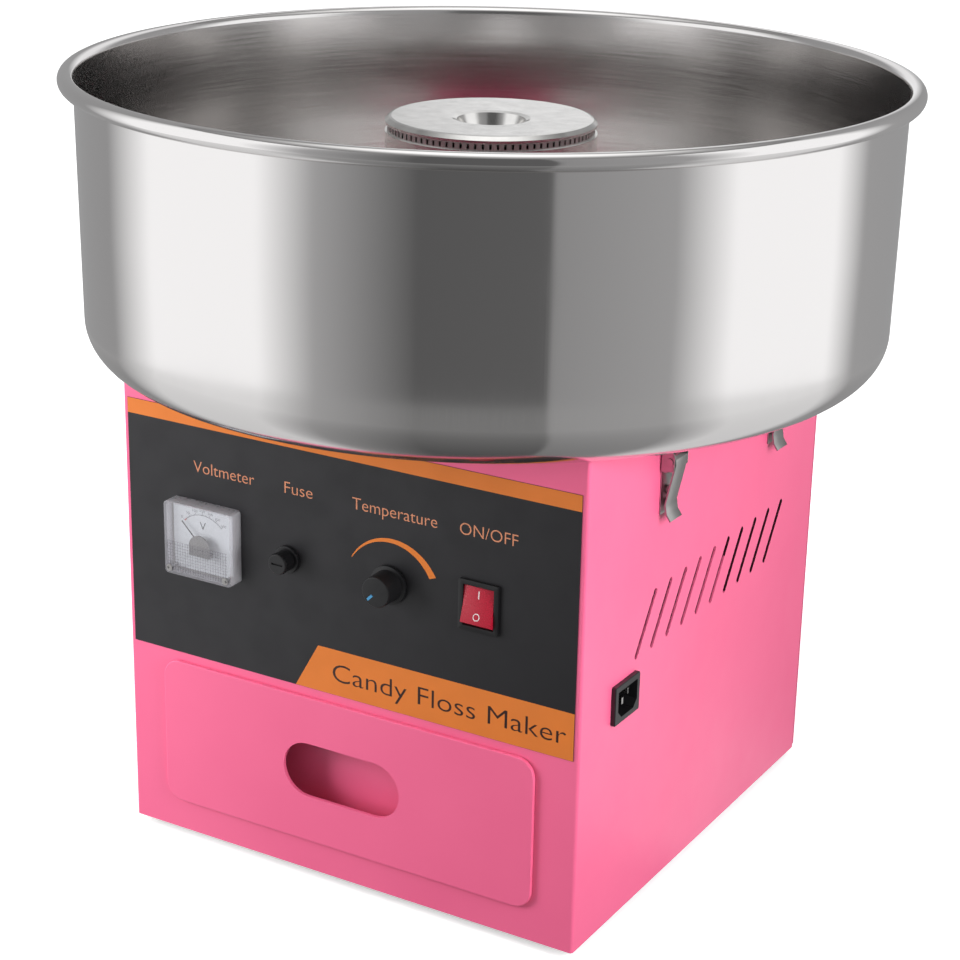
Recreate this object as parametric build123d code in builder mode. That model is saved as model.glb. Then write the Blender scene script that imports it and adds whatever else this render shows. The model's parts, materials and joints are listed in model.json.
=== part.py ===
from build123d import *

import os
from math import cos, radians, sin

# A table-top cotton candy machine: a folded sheet-metal case on rubber feet, a wide spun bowl that
# lifts off after four toggle latches are opened, and a heated sugar head on a motor shaft.
# Millimetres. +Z is up, the control panel faces -Y, and the origin is on the floor below the shaft.

os.makedirs("parts", exist_ok=True)

# ---------------------------------------------------------------- driving sizes

# case
body_width = 322.0
body_depth = 325.0
body_height = 305.0
sheet = 1.2                     # thickness of the painted case sheet
fold_radius = 2.0
back_flange = 14.0
foot_height = 6.0
foot_radius = 11.0
foot_inset = 32.0

# bowl
bowl_wall_radius = 250.8        # outside, below the rolled rim
bowl_taper = 1.4                # how much the wall narrows towards the floor
bowl_height = 169.7             # floor to the middle of the rolled rim
bowl_sheet = 0.8
bowl_corner = 25.0
rim_radius = 5.0
bowl_hole_radius = 76.0
bowl_collar = 12.0
bowl_gap = 0.3                  # between the case top and the bowl floor
bowl_lift = 160.0

# sugar head and drive
shaft_radius = 5.0
running_fit = 0.05
head_radius = 65.0
head_top_radius = 61.0         # flat disc inside the chamfered edge
head_drop = 25.0                # top of the head below the middle of the bowl's rim
head_height = 70.0
funnel_radius = 21.0
motor_radius = 44.0
motor_length = 88.0
fan_radius = 40.0
drum_gap = 4.0                  # between the bowl's hole and the wide part of the motor cover
drum_height = 24.0
neck_radius = 42.0              # narrow part round the slip rings and brushes
cover_height = 65.0

# control panel
decal_width = 315.0
decal_top_gap = 19.7            # case top to the decal's upper edge
decal_drawer_gap = 5.75         # decal's lower edge to the drawer front
decal_thickness = 0.4
control_drop = 100.0            # case top to the line through the controls
meter_x = -98.5
meter_width = 50.0
meter_height = 47.0
meter_depth = 11.0
meter_barrel_radius = 19.0
meter_barrel_length = 26.0
needle_sweep = 90.0
fuse_x = -39.0
fuse_barrel_radius = 6.0
fuse_length = 30.0
fuse_cap_radius = 6.4
knob_x = 33.2
knob_radius = 9.3
knob_height = 15.0
skirt_radius = 12.0
knob_start = 225.0              # direction of the pointer at its lowest setting
switch_x = 94.0
switch_width = 26.5
switch_height = 31.0
rocker_tilt = 12.0

# drawer
drawer_width = 267.0
drawer_height = 97.5
drawer_z = 75.8                 # middle of the drawer front above the floor
drawer_corner = 12.0
drawer_plate = 2.2
drawer_gap = 0.5
slot_width = 84.0
slot_height = 36.0
pocket_depth = 17.0
tray_width = 238.0
tray_height = 78.0
tray_length = 250.0
tray_wall = 1.0
tray_clear = 2.0                # around the tray in the case's opening
drawer_travel = 200.0

# vents, inlet and latches
vent_count = 10
vent_pitch = 20.2
vent_length = 44.1
vent_width = 4.0
vent_lean = 33.4                # degrees from upright, top towards the back
vent_y = 6.9
vent_z = 187.9
inlet_y = -109.6
inlet_z = 150.2
inlet_width = 31.0
inlet_height = 24.5
inlet_flange = 3.0
latch_front_y = -67.0
latch_rear_y = 86.0
latch_plate_width = 14.0
latch_plate_height = 44.0
latch_top_gap = 14.0            # case top to the latch plate's upper edge
lever_width = 15.0
latch_pin_radius = 1.5
latch_swing = 110.0

# ---------------------------------------------------------------- derived places

base_z = foot_height
top_z = base_z + body_height
front_y = -body_depth / 2
back_y = body_depth / 2
side_x = body_width / 2
shell_top = top_z - sheet
shell_back = back_y - sheet
control_z = top_z - control_drop
decal_top = top_z - decal_top_gap
decal_bottom = drawer_z + drawer_height / 2 + decal_drawer_gap
decal_face = -front_y + decal_thickness
bowl_floor = top_z + bowl_gap
rim_z = bowl_floor + bowl_height
head_top = rim_z - head_drop
head_bottom = head_top - head_height
tray_bottom = drawer_z - tray_height / 2
latch_top = top_z - latch_top_gap
latch_bottom = latch_top - latch_plate_height
drum_radius = bowl_hole_radius - drum_gap
drum_top = top_z + drum_height
cover_top = top_z + cover_height


def save(piece, label):
    """Label a finished piece and write it to its own STEP file."""
    piece.part.label = label
    export_step(piece.part, f"parts/{label}.step")


def front(distance):
    """A plane that faces the user, this far in front of the shaft: x is +X and y is +Z."""
    return Plane.XZ.offset(distance)


def outward(side, y):
    """An upright plane at one side wall: x points away from the case and y is +Z."""
    return Plane(origin=(side * side_x, y, 0), x_dir=(side, 0, 0), z_dir=(0, -side, 0))


def discs(plane, points, radius, amount, mode=Mode.ADD):
    """Round bosses, or holes with Mode.SUBTRACT, at several points of one plane."""
    with BuildSketch(plane) as spots:
        with Locations(*points):
            Circle(radius)
    extrude(spots.sketch, amount=amount, mode=mode)


def ring(z, height, outer, inner):
    """A plain ring round the shaft."""
    with BuildSketch(Plane.XY.offset(z)) as section:
        Circle(outer)
        Circle(inner, mode=Mode.SUBTRACT)
    extrude(section.sketch, amount=height)


# ---------------------------------------------------------------- case

hole_gap = 0.2
tray_opening = (tray_width + 2 * tray_clear, tray_height + 2 * tray_clear)
meter_screw_inset = 4.0
meter_screw_radius = 1.4
meter_screw_z = control_z - meter_height / 2 + meter_screw_inset
meter_screw_x = meter_width / 2 - meter_screw_inset
meter_screw_places = [(meter_x + s * meter_screw_x, meter_screw_z) for s in (-1, 1)]
bushing_radius = 4.5
switch_body_width = switch_width - 4.5
switch_body_height = switch_height - 3.0
inlet_body_width = inlet_width - 4.0
inlet_body_height = inlet_height - 4.5
rivet_radius = 1.6
rivet_head_radius = 2.7
rivet_head = 0.9
latch_rivet_zs = (latch_bottom + 6.0, latch_bottom + 14.0)
latch_ys = (latch_front_y, latch_rear_y)
latch_places = [(side, y) for side in (1, -1) for y in latch_ys]
screw_radius = 2.0
back_screw_inset = 25.0
back_screw_x = side_x - back_flange / 2 - sheet / 2
back_screw_zs = (base_z + back_screw_inset, (base_z + top_z) / 2, top_z - back_screw_inset)
back_screw_places = [(s * back_screw_x, z) for s in (-1, 1) for z in back_screw_zs]


def control_openings(extra):
    """The openings that the meter, fuse, knob and switch need in a panel."""
    with Locations((meter_x, control_z)):
        Circle(meter_barrel_radius + extra)
    with Locations(*meter_screw_places):
        Circle(meter_screw_radius + extra)
    with Locations((fuse_x, control_z)):
        Circle(fuse_barrel_radius + extra)
    with Locations((knob_x, control_z)):
        Circle(bushing_radius + extra)
    with Locations((switch_x, control_z)):
        Rectangle(switch_body_width + extra, switch_body_height + extra)


def vent_slots():
    """One row of leaning slots in the side wall."""
    first = vent_y - vent_pitch * (vent_count - 1) / 2
    for i in range(vent_count):
        with Locations(Location((first + i * vent_pitch, vent_z), 90 - vent_lean)):
            SlotOverall(vent_length, vent_width)


shell_depth = shell_back - front_y
shell_middle = (front_y + shell_back) / 2
with BuildPart() as body_shell:
    with BuildSketch(Plane.XY.offset(base_z)) as shell_section:
        with Locations((0, shell_middle)):
            Rectangle(body_width, shell_depth)
        fillet(shell_section.vertices(), fold_radius)
        with Locations((0, shell_middle)):
            RectangleRounded(
                body_width - 2 * sheet, shell_depth - 2 * sheet, fold_radius - sheet, mode=Mode.SUBTRACT
            )
        with Locations((0, shell_back)):
            Rectangle(body_width - 2 * back_flange, 4 * sheet, mode=Mode.SUBTRACT)
    extrude(amount=shell_top - base_z)
    with BuildSketch(front(-front_y)):
        control_openings(hole_gap)
        with Locations((0, drawer_z)):
            Rectangle(*tray_opening)
    extrude(amount=-2 * sheet, mode=Mode.SUBTRACT)
    with BuildSketch(Plane.YZ.offset(side_x)):
        vent_slots()
        with Locations((inlet_y, inlet_z)):
            Rectangle(inlet_body_width + hole_gap, inlet_body_height + hole_gap)
    extrude(amount=-2 * sheet, mode=Mode.SUBTRACT)
    with BuildSketch(Plane.YZ.offset(-side_x)):
        vent_slots()
    extrude(amount=2 * sheet, mode=Mode.SUBTRACT)
    rivet_holes = [(y, z) for y in latch_ys for z in latch_rivet_zs]
    discs(Plane.YZ, rivet_holes, rivet_radius, side_x + sheet, Mode.SUBTRACT)
    discs(Plane.YZ, rivet_holes, rivet_radius, -side_x - sheet, Mode.SUBTRACT)
    discs(front(-shell_back - sheet), back_screw_places, screw_radius, 3 * sheet, Mode.SUBTRACT)
save(body_shell, "body_shell")

mount_pcd = 120.0
mount_count = 4
mount_screw_radius = 2.5
cover_flange = 14.0
cover_screw_xy = (drum_radius - cover_flange / 2) * cos(radians(45))
cover_screw_places = [(x * cover_screw_xy, y * cover_screw_xy) for x in (-1, 1) for y in (-1, 1)]
motor_opening = 50.0
lip_height = 10.0               # folded edge of the top plate, inside the case
lip_gap = 0.2
lip_width = body_width - 2 * sheet - 2 * lip_gap
lip_depth = shell_depth - 2 * sheet - 2 * lip_gap
with BuildPart() as top_plate:
    with BuildSketch(Plane.XY.offset(shell_top)):
        RectangleRounded(body_width, body_depth, fold_radius)
    extrude(amount=sheet)
    with BuildSketch(Plane.XY.offset(shell_top)):
        with Locations((0, shell_middle)):
            RectangleRounded(lip_width, lip_depth, 1.0)
            Rectangle(lip_width - 2 * sheet, lip_depth - 2 * sheet, mode=Mode.SUBTRACT)
    extrude(amount=-lip_height)
    with BuildSketch(Plane.XY.offset(shell_top)):
        Circle(motor_opening)
        with Locations(*cover_screw_places):
            Circle(screw_radius)
        with PolarLocations(mount_pcd / 2, mount_count):
            Circle(mount_screw_radius)
    extrude(amount=sheet, mode=Mode.SUBTRACT)
save(top_plate, "top_plate")

back_vents = 7
with BuildPart() as back_panel:
    with BuildSketch(front(-back_y)):
        with Locations((0, (base_z + shell_top) / 2)):
            RectangleRounded(body_width - 1, shell_top - base_z - 1, fold_radius)
        with Locations(*back_screw_places):
            Circle(screw_radius, mode=Mode.SUBTRACT)
        with Locations((0, control_z)):
            with GridLocations(vent_pitch, 1, back_vents, 1):
                SlotOverall(vent_length, vent_width, rotation=90, mode=Mode.SUBTRACT)
    extrude(amount=sheet)
save(back_panel, "back_panel")

foot_taper = -8
foot_x = side_x - foot_inset
foot_y = body_depth / 2 - foot_inset
with BuildPart() as base_plate:
    with BuildSketch(Plane.XY.offset(base_z)):
        with Locations((0, shell_middle)):
            RectangleRounded(lip_width, lip_depth - 2 * sheet, 1.0)
        with GridLocations(2 * foot_x, 2 * foot_y, 2, 2):
            Circle(screw_radius, mode=Mode.SUBTRACT)
    extrude(amount=sheet)
save(base_plate, "base_plate")

with BuildPart() as rubber_feet:
    with BuildSketch(Plane.XY):
        with GridLocations(2 * foot_x, 2 * foot_y, 2, 2):
            Circle(foot_radius)
    extrude(amount=base_z, taper=foot_taper)
    with BuildSketch(Plane.XY.offset(base_z)):
        with GridLocations(2 * foot_x, 2 * foot_y, 2, 2):
            Circle(screw_radius)
    extrude(amount=sheet - hole_gap)
save(rubber_feet, "rubber_feet")

screw_head_radius = 4.0
screw_head = 2.4
screw_tip = 3.0                 # length of a screw beyond the sheets that it holds
with BuildPart() as case_screws:
    discs(front(-back_y), back_screw_places, screw_head_radius, -screw_head)
    discs(front(-back_y), back_screw_places, screw_radius, 2 * sheet + screw_tip)
    discs(Plane.XY.offset(shell_top), cover_screw_places, screw_head_radius, -screw_head)
    discs(Plane.XY.offset(shell_top), cover_screw_places, screw_radius, 2 * sheet + screw_tip)
save(case_screws, "case_screws")

with BuildPart() as control_decal:
    with BuildSketch(front(-front_y)):
        with Locations((0, decal_bottom)):
            Rectangle(decal_width, decal_top - decal_bottom, align=(Align.CENTER, Align.MIN))
    extrude(amount=decal_thickness)
    with BuildSketch(front(-front_y)):
        control_openings(hole_gap)
    extrude(amount=decal_thickness, mode=Mode.SUBTRACT)
save(control_decal, "control_decal")

# ---------------------------------------------------------------- drawer

pocket_wall = -front_y - pocket_depth
plate_back = -front_y + drawer_gap
tray_front = plate_back
tray_middle = -(tray_front - tray_length / 2)
with BuildPart() as drawer_front:
    with BuildSketch(front(plate_back)):
        with Locations((0, drawer_z)):
            RectangleRounded(drawer_width, drawer_height, drawer_corner)
            SlotOverall(slot_width, slot_height, mode=Mode.SUBTRACT)
    extrude(amount=drawer_plate)
    fillet(drawer_front.faces().sort_by(Axis.Y)[0].outer_wire().edges(), 0.8)
save(drawer_front, "drawer_front")

main_length = tray_length - (tray_front - pocket_wall) - 2 * tray_wall
with BuildPart() as drawer_tray:
    with BuildSketch(Plane.XY.offset(tray_bottom)):
        with Locations((0, tray_middle)):
            Rectangle(tray_width, tray_length)
    extrude(amount=tray_height)
    with BuildSketch(Plane.XY.offset(tray_bottom + tray_wall)):
        with Locations((0, -pocket_wall + tray_wall)):
            Rectangle(tray_width - 2 * tray_wall, main_length, align=(Align.CENTER, Align.MIN))
        with Locations((0, -tray_front)):
            Rectangle(tray_width - 2 * tray_wall, tray_front - pocket_wall, align=(Align.CENTER, Align.MIN))
    extrude(amount=tray_height, mode=Mode.SUBTRACT)
save(drawer_tray, "drawer_tray")

rail_gap = 0.4
rail_ledge = 10.0
rail_sheet = 1.5
rail_foot = 12.0
rail_guide = 12.0               # height of the rail's web beside the tray
rail_length = tray_length - 20
rail_start = -front_y - sheet - 1.0
base_top = base_z + sheet
web_x = tray_width / 2 + tray_clear
ledge_x = web_x - (rail_ledge - rail_sheet) / 2
with BuildPart() as drawer_runners:
    for side in (-1, 1):
        with BuildSketch(front(rail_start)):
            with Locations((side * (web_x + rail_sheet / 2), base_top)):
                Rectangle(rail_sheet, tray_bottom + rail_guide - base_top, align=(Align.CENTER, Align.MIN))
            with Locations((side * ledge_x, tray_bottom - rail_gap)):
                Rectangle(rail_ledge + rail_sheet, rail_sheet, align=(Align.CENTER, Align.MAX))
            with Locations((side * (web_x + rail_foot / 2), base_top)):
                Rectangle(rail_foot, rail_sheet, align=(Align.CENTER, Align.MIN))
        extrude(amount=-rail_length)
save(drawer_runners, "drawer_runners")

# ---------------------------------------------------------------- bowl and its catches

wall_foot_radius = bowl_wall_radius - bowl_taper
rim_centre = bowl_wall_radius - bowl_sheet + rim_radius
catch_width = 12.0
catch_sheet = 0.8
catch_gap = 0.3
latch_plate = 1.0
catch_inside = 2 * latch_plate + catch_gap
catch_foot = 14.0
catch_rivet_out = catch_foot - 5.0
catch_rivet_y = 3.5
collar_round = 3.0
bead_overlap = 0.3              # the wall runs this far into the rolled bead
bead_end = 230.0                # direction in which the bead's inner edge stops
catch_rivet_places = [
    (side * (side_x + catch_rivet_out), y + s * catch_rivet_y) for side, y in latch_places for s in (-1, 1)
]
with BuildPart() as bowl:
    with BuildSketch(Plane.XZ):
        with BuildLine():
            outside = FilletPolyline(
                (bowl_hole_radius, bowl_floor + bowl_collar),
                (bowl_hole_radius, bowl_floor),
                (wall_foot_radius, bowl_floor),
                (bowl_wall_radius, rim_z + bead_overlap),
                radius=[collar_round, bowl_corner],
            )
            inside = FilletPolyline(
                (bowl_wall_radius - bowl_sheet, rim_z + bead_overlap),
                (wall_foot_radius - bowl_sheet, bowl_floor + bowl_sheet),
                (bowl_hole_radius + bowl_sheet, bowl_floor + bowl_sheet),
                (bowl_hole_radius + bowl_sheet, bowl_floor + bowl_collar),
                radius=[bowl_corner - bowl_sheet, collar_round - bowl_sheet],
            )
            Line(outside @ 1, inside @ 0)
            Line(inside @ 1, outside @ 0)
        make_face()
        with BuildSketch(mode=Mode.PRIVATE) as bead:
            with Locations((rim_centre, rim_z)):
                Circle(rim_radius)
                Circle(rim_radius - bowl_sheet, mode=Mode.SUBTRACT)
                with Locations((0, 0)):
                    Polygon(
                        (0, 0),
                        (-2 * rim_radius, 0),
                        (2 * rim_radius * cos(radians(bead_end)), 2 * rim_radius * sin(radians(bead_end))),
                        align=None,
                        mode=Mode.SUBTRACT,
                    )
        add(bead.sketch)
    revolve(axis=Axis.Z)
    discs(Plane.XY.offset(bowl_floor), catch_rivet_places, rivet_radius, bowl_sheet, Mode.SUBTRACT)
save(bowl, "bowl")

pin_out = 6.5
pin_drop = 24.0
pin_z = top_z - pin_drop
strap_end = pin_z - 4.5         # the strap reaches below the pin
with BuildPart() as bowl_catches:
    for side, y in latch_places:
        with BuildSketch(outward(side, y)):
            with Locations((catch_inside, bowl_floor)):
                Rectangle(catch_sheet, bowl_floor - strap_end, align=(Align.MIN, Align.MAX))
                Rectangle(catch_foot - catch_inside, catch_sheet, align=(Align.MIN, Align.MAX))
        extrude(amount=catch_width / 2, both=True)
    discs(Plane.XY.offset(bowl_floor), catch_rivet_places, rivet_radius, -catch_sheet, Mode.SUBTRACT)
save(bowl_catches, "bowl_catches")

with BuildPart() as catch_rivets:
    low = Plane.XY.offset(bowl_floor - catch_sheet)
    discs(low, catch_rivet_places, rivet_radius - running_fit, catch_sheet + bowl_sheet)
    discs(Plane.XY.offset(bowl_floor + bowl_sheet), catch_rivet_places, rivet_head_radius, rivet_head)
    discs(low, catch_rivet_places, rivet_head_radius, -rivet_head)
save(catch_rivets, "catch_rivets")

# ---------------------------------------------------------------- latches

ear_sheet = 0.8
ear_gap = 0.6
ear_inside = lever_width / 2 + ear_gap
ear_out = pin_out + 3.0
ear_height = 12.0
bracket_foot = 5.0
bracket_z = strap_end - 2.5
with BuildPart() as latch_bases:
    for side, y in latch_places:
        with BuildSketch(outward(side, y)) as ear:
            with Locations((latch_plate, pin_z)):
                Rectangle(ear_out - latch_plate, ear_height, align=(Align.MIN, Align.CENTER))
            fillet(ear.vertices().group_by(Axis.X)[-1], 2.5)
            with Locations((pin_out, pin_z)):
                Circle(latch_pin_radius, mode=Mode.SUBTRACT)
        extrude(amount=ear_inside + ear_sheet, both=True)
        with BuildSketch(outward(side, y)):
            with Locations((2 * latch_plate, pin_z)):
                Rectangle(2 * ear_out, 2 * ear_height, align=(Align.MIN, Align.CENTER))
        extrude(amount=ear_inside, both=True, mode=Mode.SUBTRACT)
        with BuildSketch(outward(side, y)):
            with Locations((latch_plate, bracket_z)):
                Rectangle(latch_plate, latch_top - bracket_z, align=(Align.MIN, Align.MIN))
                Rectangle(bracket_foot - latch_plate, ear_sheet, align=(Align.MIN, Align.MIN))
        extrude(amount=ear_inside, both=True)
        with BuildSketch(outward(side, y)):
            with Locations((0, latch_bottom)):
                Rectangle(latch_plate, latch_plate_height, align=(Align.MIN, Align.MIN))
        extrude(amount=latch_plate_width / 2, both=True)
        holes = [(y, z) for z in latch_rivet_zs]
        discs(Plane.YZ.offset(side * side_x), holes, rivet_radius, side * latch_plate, Mode.SUBTRACT)
save(latch_bases, "latch_bases")

pin_head_radius = latch_pin_radius + 0.7
pin_head = 0.6
with BuildPart() as latch_pins:
    for side, y in latch_places:
        with BuildSketch(outward(side, y)):
            with Locations((pin_out, pin_z)):
                Circle(latch_pin_radius)
        extrude(amount=ear_inside + ear_sheet, both=True)
        with BuildSketch(outward(side, y).offset(ear_inside + ear_sheet)):
            with Locations((pin_out, pin_z)):
                Circle(pin_head_radius)
        extrude(amount=pin_head)
save(latch_pins, "latch_pins")

with BuildPart() as case_rivets:
    for side in (-1, 1):
        places = [(y, z) for y in latch_ys for z in latch_rivet_zs]
        outer = Plane.YZ.offset(side * (side_x + latch_plate))
        discs(outer, places, rivet_head_radius, side * rivet_head)
        discs(outer, places, rivet_radius, -side * (latch_plate + sheet))
        discs(Plane.YZ.offset(side * (side_x - sheet)), places, rivet_head_radius, -side * rivet_head)
save(case_rivets, "latch_rivets")

lever_sheet = 1.0
cam_gap = 0.2
cam_shift = 0.4
cam_radius = pin_out - catch_inside - catch_sheet - cam_gap - cam_shift
lever_path = [(1.0, 2.4), (2.6, 1.2), (2.9, -1.8), (-2.6, -27.0), (-1.5, -33.0), (1.3, -37.0)]


def latch_lever(side, y):
    """The handle: a cam round the pin that grips the bowl's strap, and an arm with a kicked tip."""
    with BuildPart() as lever:
        with BuildSketch(outward(side, y)):
            with BuildLine():
                Polyline(*[(pin_out + dx, pin_z + dz) for dx, dz in lever_path])
            trace(line_width=lever_sheet)
            with Locations((pin_out - cam_shift, pin_z)):
                Circle(cam_radius)
            with Locations((pin_out, pin_z)):
                Circle(latch_pin_radius + running_fit, mode=Mode.SUBTRACT)
        extrude(amount=lever_width / 2, both=True)
    return lever


for (side, y), label in zip(latch_places, ("front_right", "rear_right", "front_left", "rear_left")):
    save(latch_lever(side, y), f"latch_lever_{label}")

# ---------------------------------------------------------------- voltmeter

cover_wall = 1.3
cover_round = 0.9
cover_corner = 2.5
base_gap = 0.1                  # between the meter's base and its cover
dial_out = 4.6
dial_thickness = 0.6
meter_pivot_drop = 3.0
pivot_z = control_z - meter_pivot_drop
needle_out = 6.4
meter_back = decal_face
base_face = meter_back + dial_out - dial_thickness
dial_face = meter_back + dial_out
with BuildPart() as meter_cover:
    with BuildSketch(front(meter_back)):
        with Locations((meter_x, control_z)):
            RectangleRounded(meter_width, meter_height, cover_corner)
    extrude(amount=meter_depth)
    fillet(meter_cover.faces().sort_by(Axis.Y)[0].outer_wire().edges(), cover_round)
    with BuildSketch(front(meter_back)):
        with Locations((meter_x, control_z)):
            RectangleRounded(
                meter_width - 2 * cover_wall, meter_height - 2 * cover_wall, cover_corner - cover_wall
            )
    extrude(amount=meter_depth - cover_wall, mode=Mode.SUBTRACT)
    screw_hole = meter_screw_radius + base_gap
    discs(front(meter_back + meter_depth), meter_screw_places, screw_hole, -2 * cover_wall, Mode.SUBTRACT)
save(meter_cover, "meter_cover")

base_inset = cover_wall + base_gap
with BuildPart() as meter_base:
    with BuildSketch(front(meter_back)):
        with Locations((meter_x, control_z)):
            RectangleRounded(
                meter_width - 2 * base_inset, meter_height - 2 * base_inset, cover_corner - base_inset
            )
    extrude(amount=base_face - meter_back)
    discs(front(meter_back), [(meter_x, control_z)], meter_barrel_radius, -meter_barrel_length)
    discs(front(base_face), meter_screw_places, screw_hole, -dial_out, Mode.SUBTRACT)
save(meter_base, "meter_base")

dial_inset = 3.0
with BuildPart() as meter_dial:
    with BuildSketch(front(base_face)):
        with Locations((meter_x, control_z)):
            RectangleRounded(meter_width - 2 * dial_inset, meter_height - 2 * dial_inset, 1.0)
        with Locations(*meter_screw_places):
            Circle(meter_screw_radius + base_gap, mode=Mode.SUBTRACT)
    extrude(amount=dial_thickness)
save(meter_dial, "meter_dial")

needle_length = 20.0
needle_tail = 3.2
needle_width = 0.7
needle_sheet = 0.4
needle_start = 135.0
hub_radius = 2.2
hub_height = 0.9
with BuildPart() as meter_needle:
    discs(front(meter_back + needle_out), [(meter_x, pivot_z)], hub_radius, hub_height)
    with BuildSketch(front(meter_back + needle_out + (hub_height - needle_sheet) / 2)):
        with Locations(Location((meter_x, pivot_z), needle_start)):
            Rectangle(needle_length, needle_width, align=(Align.MIN, Align.CENTER))
            Rectangle(needle_tail, 2 * needle_width, align=(Align.MAX, Align.CENTER))
    extrude(amount=needle_sheet)
save(meter_needle, "meter_needle")

yoke_radius = 7.5
yoke_gap = 0.7                  # between the needle's hub and the yoke in front of it
yoke_sheet = 1.2
yoke_post = 2.0
yoke_back = meter_back + needle_out + hub_height + yoke_gap
spindle_radius = 0.9
spindle_gap = 0.1
with BuildPart() as meter_movement:
    with BuildSketch(front(yoke_back)):
        with Locations((meter_x, pivot_z)):
            Circle(yoke_radius)
        with Locations((meter_x, pivot_z - yoke_post)):
            Rectangle(3 * yoke_radius, 2 * yoke_radius, align=(Align.CENTER, Align.MAX), mode=Mode.SUBTRACT)
            Rectangle(2 * yoke_radius, 2 * yoke_post, align=(Align.CENTER, Align.MAX))
    extrude(amount=yoke_sheet)
    with BuildSketch(front(dial_face)):
        with Locations((meter_x, pivot_z - 3 * yoke_post)):
            Rectangle(2 * yoke_radius, yoke_post, align=(Align.CENTER, Align.MIN))
    extrude(amount=yoke_back - dial_face)
    spindle = meter_back + needle_out - spindle_gap - dial_face
    discs(front(dial_face), [(meter_x, pivot_z)], spindle_radius, spindle)
save(meter_movement, "meter_movement")

meter_screw_head = 0.7
with BuildPart() as meter_screws:
    discs(front(meter_back + meter_depth), meter_screw_places, 2.2, meter_screw_head)
    screw_length = meter_depth + decal_thickness + sheet + screw_tip
    discs(front(meter_back + meter_depth), meter_screw_places, meter_screw_radius, -screw_length)
save(meter_screws, "meter_screws")

# ---------------------------------------------------------------- fuse holder

fuse_ring_radius = 8.6
fuse_ring = 2.4
bore_radius = 5.1
cartridge_radius = 3.2
barrel_length = fuse_length + 12.0
barrel_end = 4.5                # solid back end of the holder
fuse_place = [(fuse_x, control_z)]
with BuildPart() as fuse_holder:
    discs(front(decal_face), fuse_place, fuse_ring_radius, fuse_ring)
    discs(front(decal_face), fuse_place, fuse_barrel_radius, -barrel_length)
    fillet(fuse_holder.faces().sort_by(Axis.Y)[0].outer_wire().edges(), 0.6)
    bore_length = fuse_ring + barrel_length - barrel_end
    discs(front(decal_face + fuse_ring), fuse_place, bore_radius, -bore_length, Mode.SUBTRACT)
save(fuse_holder, "fuse_holder")

nut_height = 4.0
with BuildPart() as fuse_nut:
    with BuildSketch(front(-front_y - sheet)):
        with Locations((fuse_x, control_z)):
            RegularPolygon(fuse_ring_radius, 6)
            Circle(fuse_barrel_radius, mode=Mode.SUBTRACT)
    extrude(amount=-nut_height)
save(fuse_nut, "fuse_nut")

cap_height = 9.0
cap_plug = 8.0                  # part of the cap inside the holder
cap_grip = 6.0                  # depth to which the cap holds the cartridge
cap_gap = 0.1
cap_slot = (8.0, 1.2)
cap_face = decal_face + fuse_ring + cap_gap
with BuildPart() as fuse_cap:
    discs(front(cap_face), fuse_place, fuse_cap_radius, cap_height)
    fillet(fuse_cap.faces().sort_by(Axis.Y)[0].outer_wire().edges(), 0.8)
    discs(front(cap_face), fuse_place, bore_radius - running_fit, -cap_plug)
    discs(front(cap_face - cap_plug), fuse_place, cartridge_radius, cap_grip, Mode.SUBTRACT)
    with BuildSketch(front(cap_face + cap_height)):
        with Locations(*fuse_place):
            Rectangle(*cap_slot)
    extrude(amount=-1.0, mode=Mode.SUBTRACT)
save(fuse_cap, "fuse_cap")

fuse_end = 5.5
glass_step = 0.2                # the glass is thinner than its end caps
glass_length = fuse_length - 2 * fuse_end
cartridge_face = cap_face - cap_plug + cap_grip
with BuildPart() as fuse_cartridge:
    discs(front(cartridge_face), fuse_place, cartridge_radius, -fuse_end)
    discs(front(cartridge_face - fuse_end), fuse_place, cartridge_radius - glass_step, -glass_length)
    discs(front(cartridge_face - fuse_end - glass_length), fuse_place, cartridge_radius, -fuse_end)
save(fuse_cartridge, "fuse_cartridge")

# ---------------------------------------------------------------- temperature knob

pot_radius = 12.0
pot_depth = 11.0
pot_shaft_radius = 3.0
bushing_length = 4.2            # beyond the case sheet
nut_recess = 7.6
nut_gap = 0.6
pot_nut_height = 2.2
knob_gap = 0.5
knob_skirt = 2.0
knob_flare = 0.5
knob_cap = 4.0                  # solid end of the knob in front of its shaft
recess_depth = 4.6
knob_back = decal_face + knob_gap
knob_face = knob_back + knob_height
knob_place = [(knob_x, control_z)]
with BuildPart() as pot_body:
    discs(front(-front_y - sheet), knob_place, pot_radius, -pot_depth)
    discs(front(-front_y - sheet), knob_place, bushing_radius, sheet + bushing_length)
    bore = bushing_length + sheet + pot_depth / 2
    discs(front(-front_y + bushing_length), knob_place, pot_shaft_radius + running_fit, -bore, Mode.SUBTRACT)
save(pot_body, "pot_body")

with BuildPart() as pot_nut:
    with BuildSketch(front(decal_face)):
        with Locations(*knob_place):
            RegularPolygon(nut_recess - nut_gap, 6)
            Circle(bushing_radius, mode=Mode.SUBTRACT)
    extrude(amount=pot_nut_height)
save(pot_nut, "pot_nut")

pot_shaft_tip = knob_face - knob_cap
pot_shaft_length = pot_shaft_tip + front_y + sheet + pot_depth / 2 - knob_gap
with BuildPart() as pot_shaft:
    discs(front(pot_shaft_tip), knob_place, pot_shaft_radius, -pot_shaft_length)
save(pot_shaft, "pot_shaft")

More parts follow.
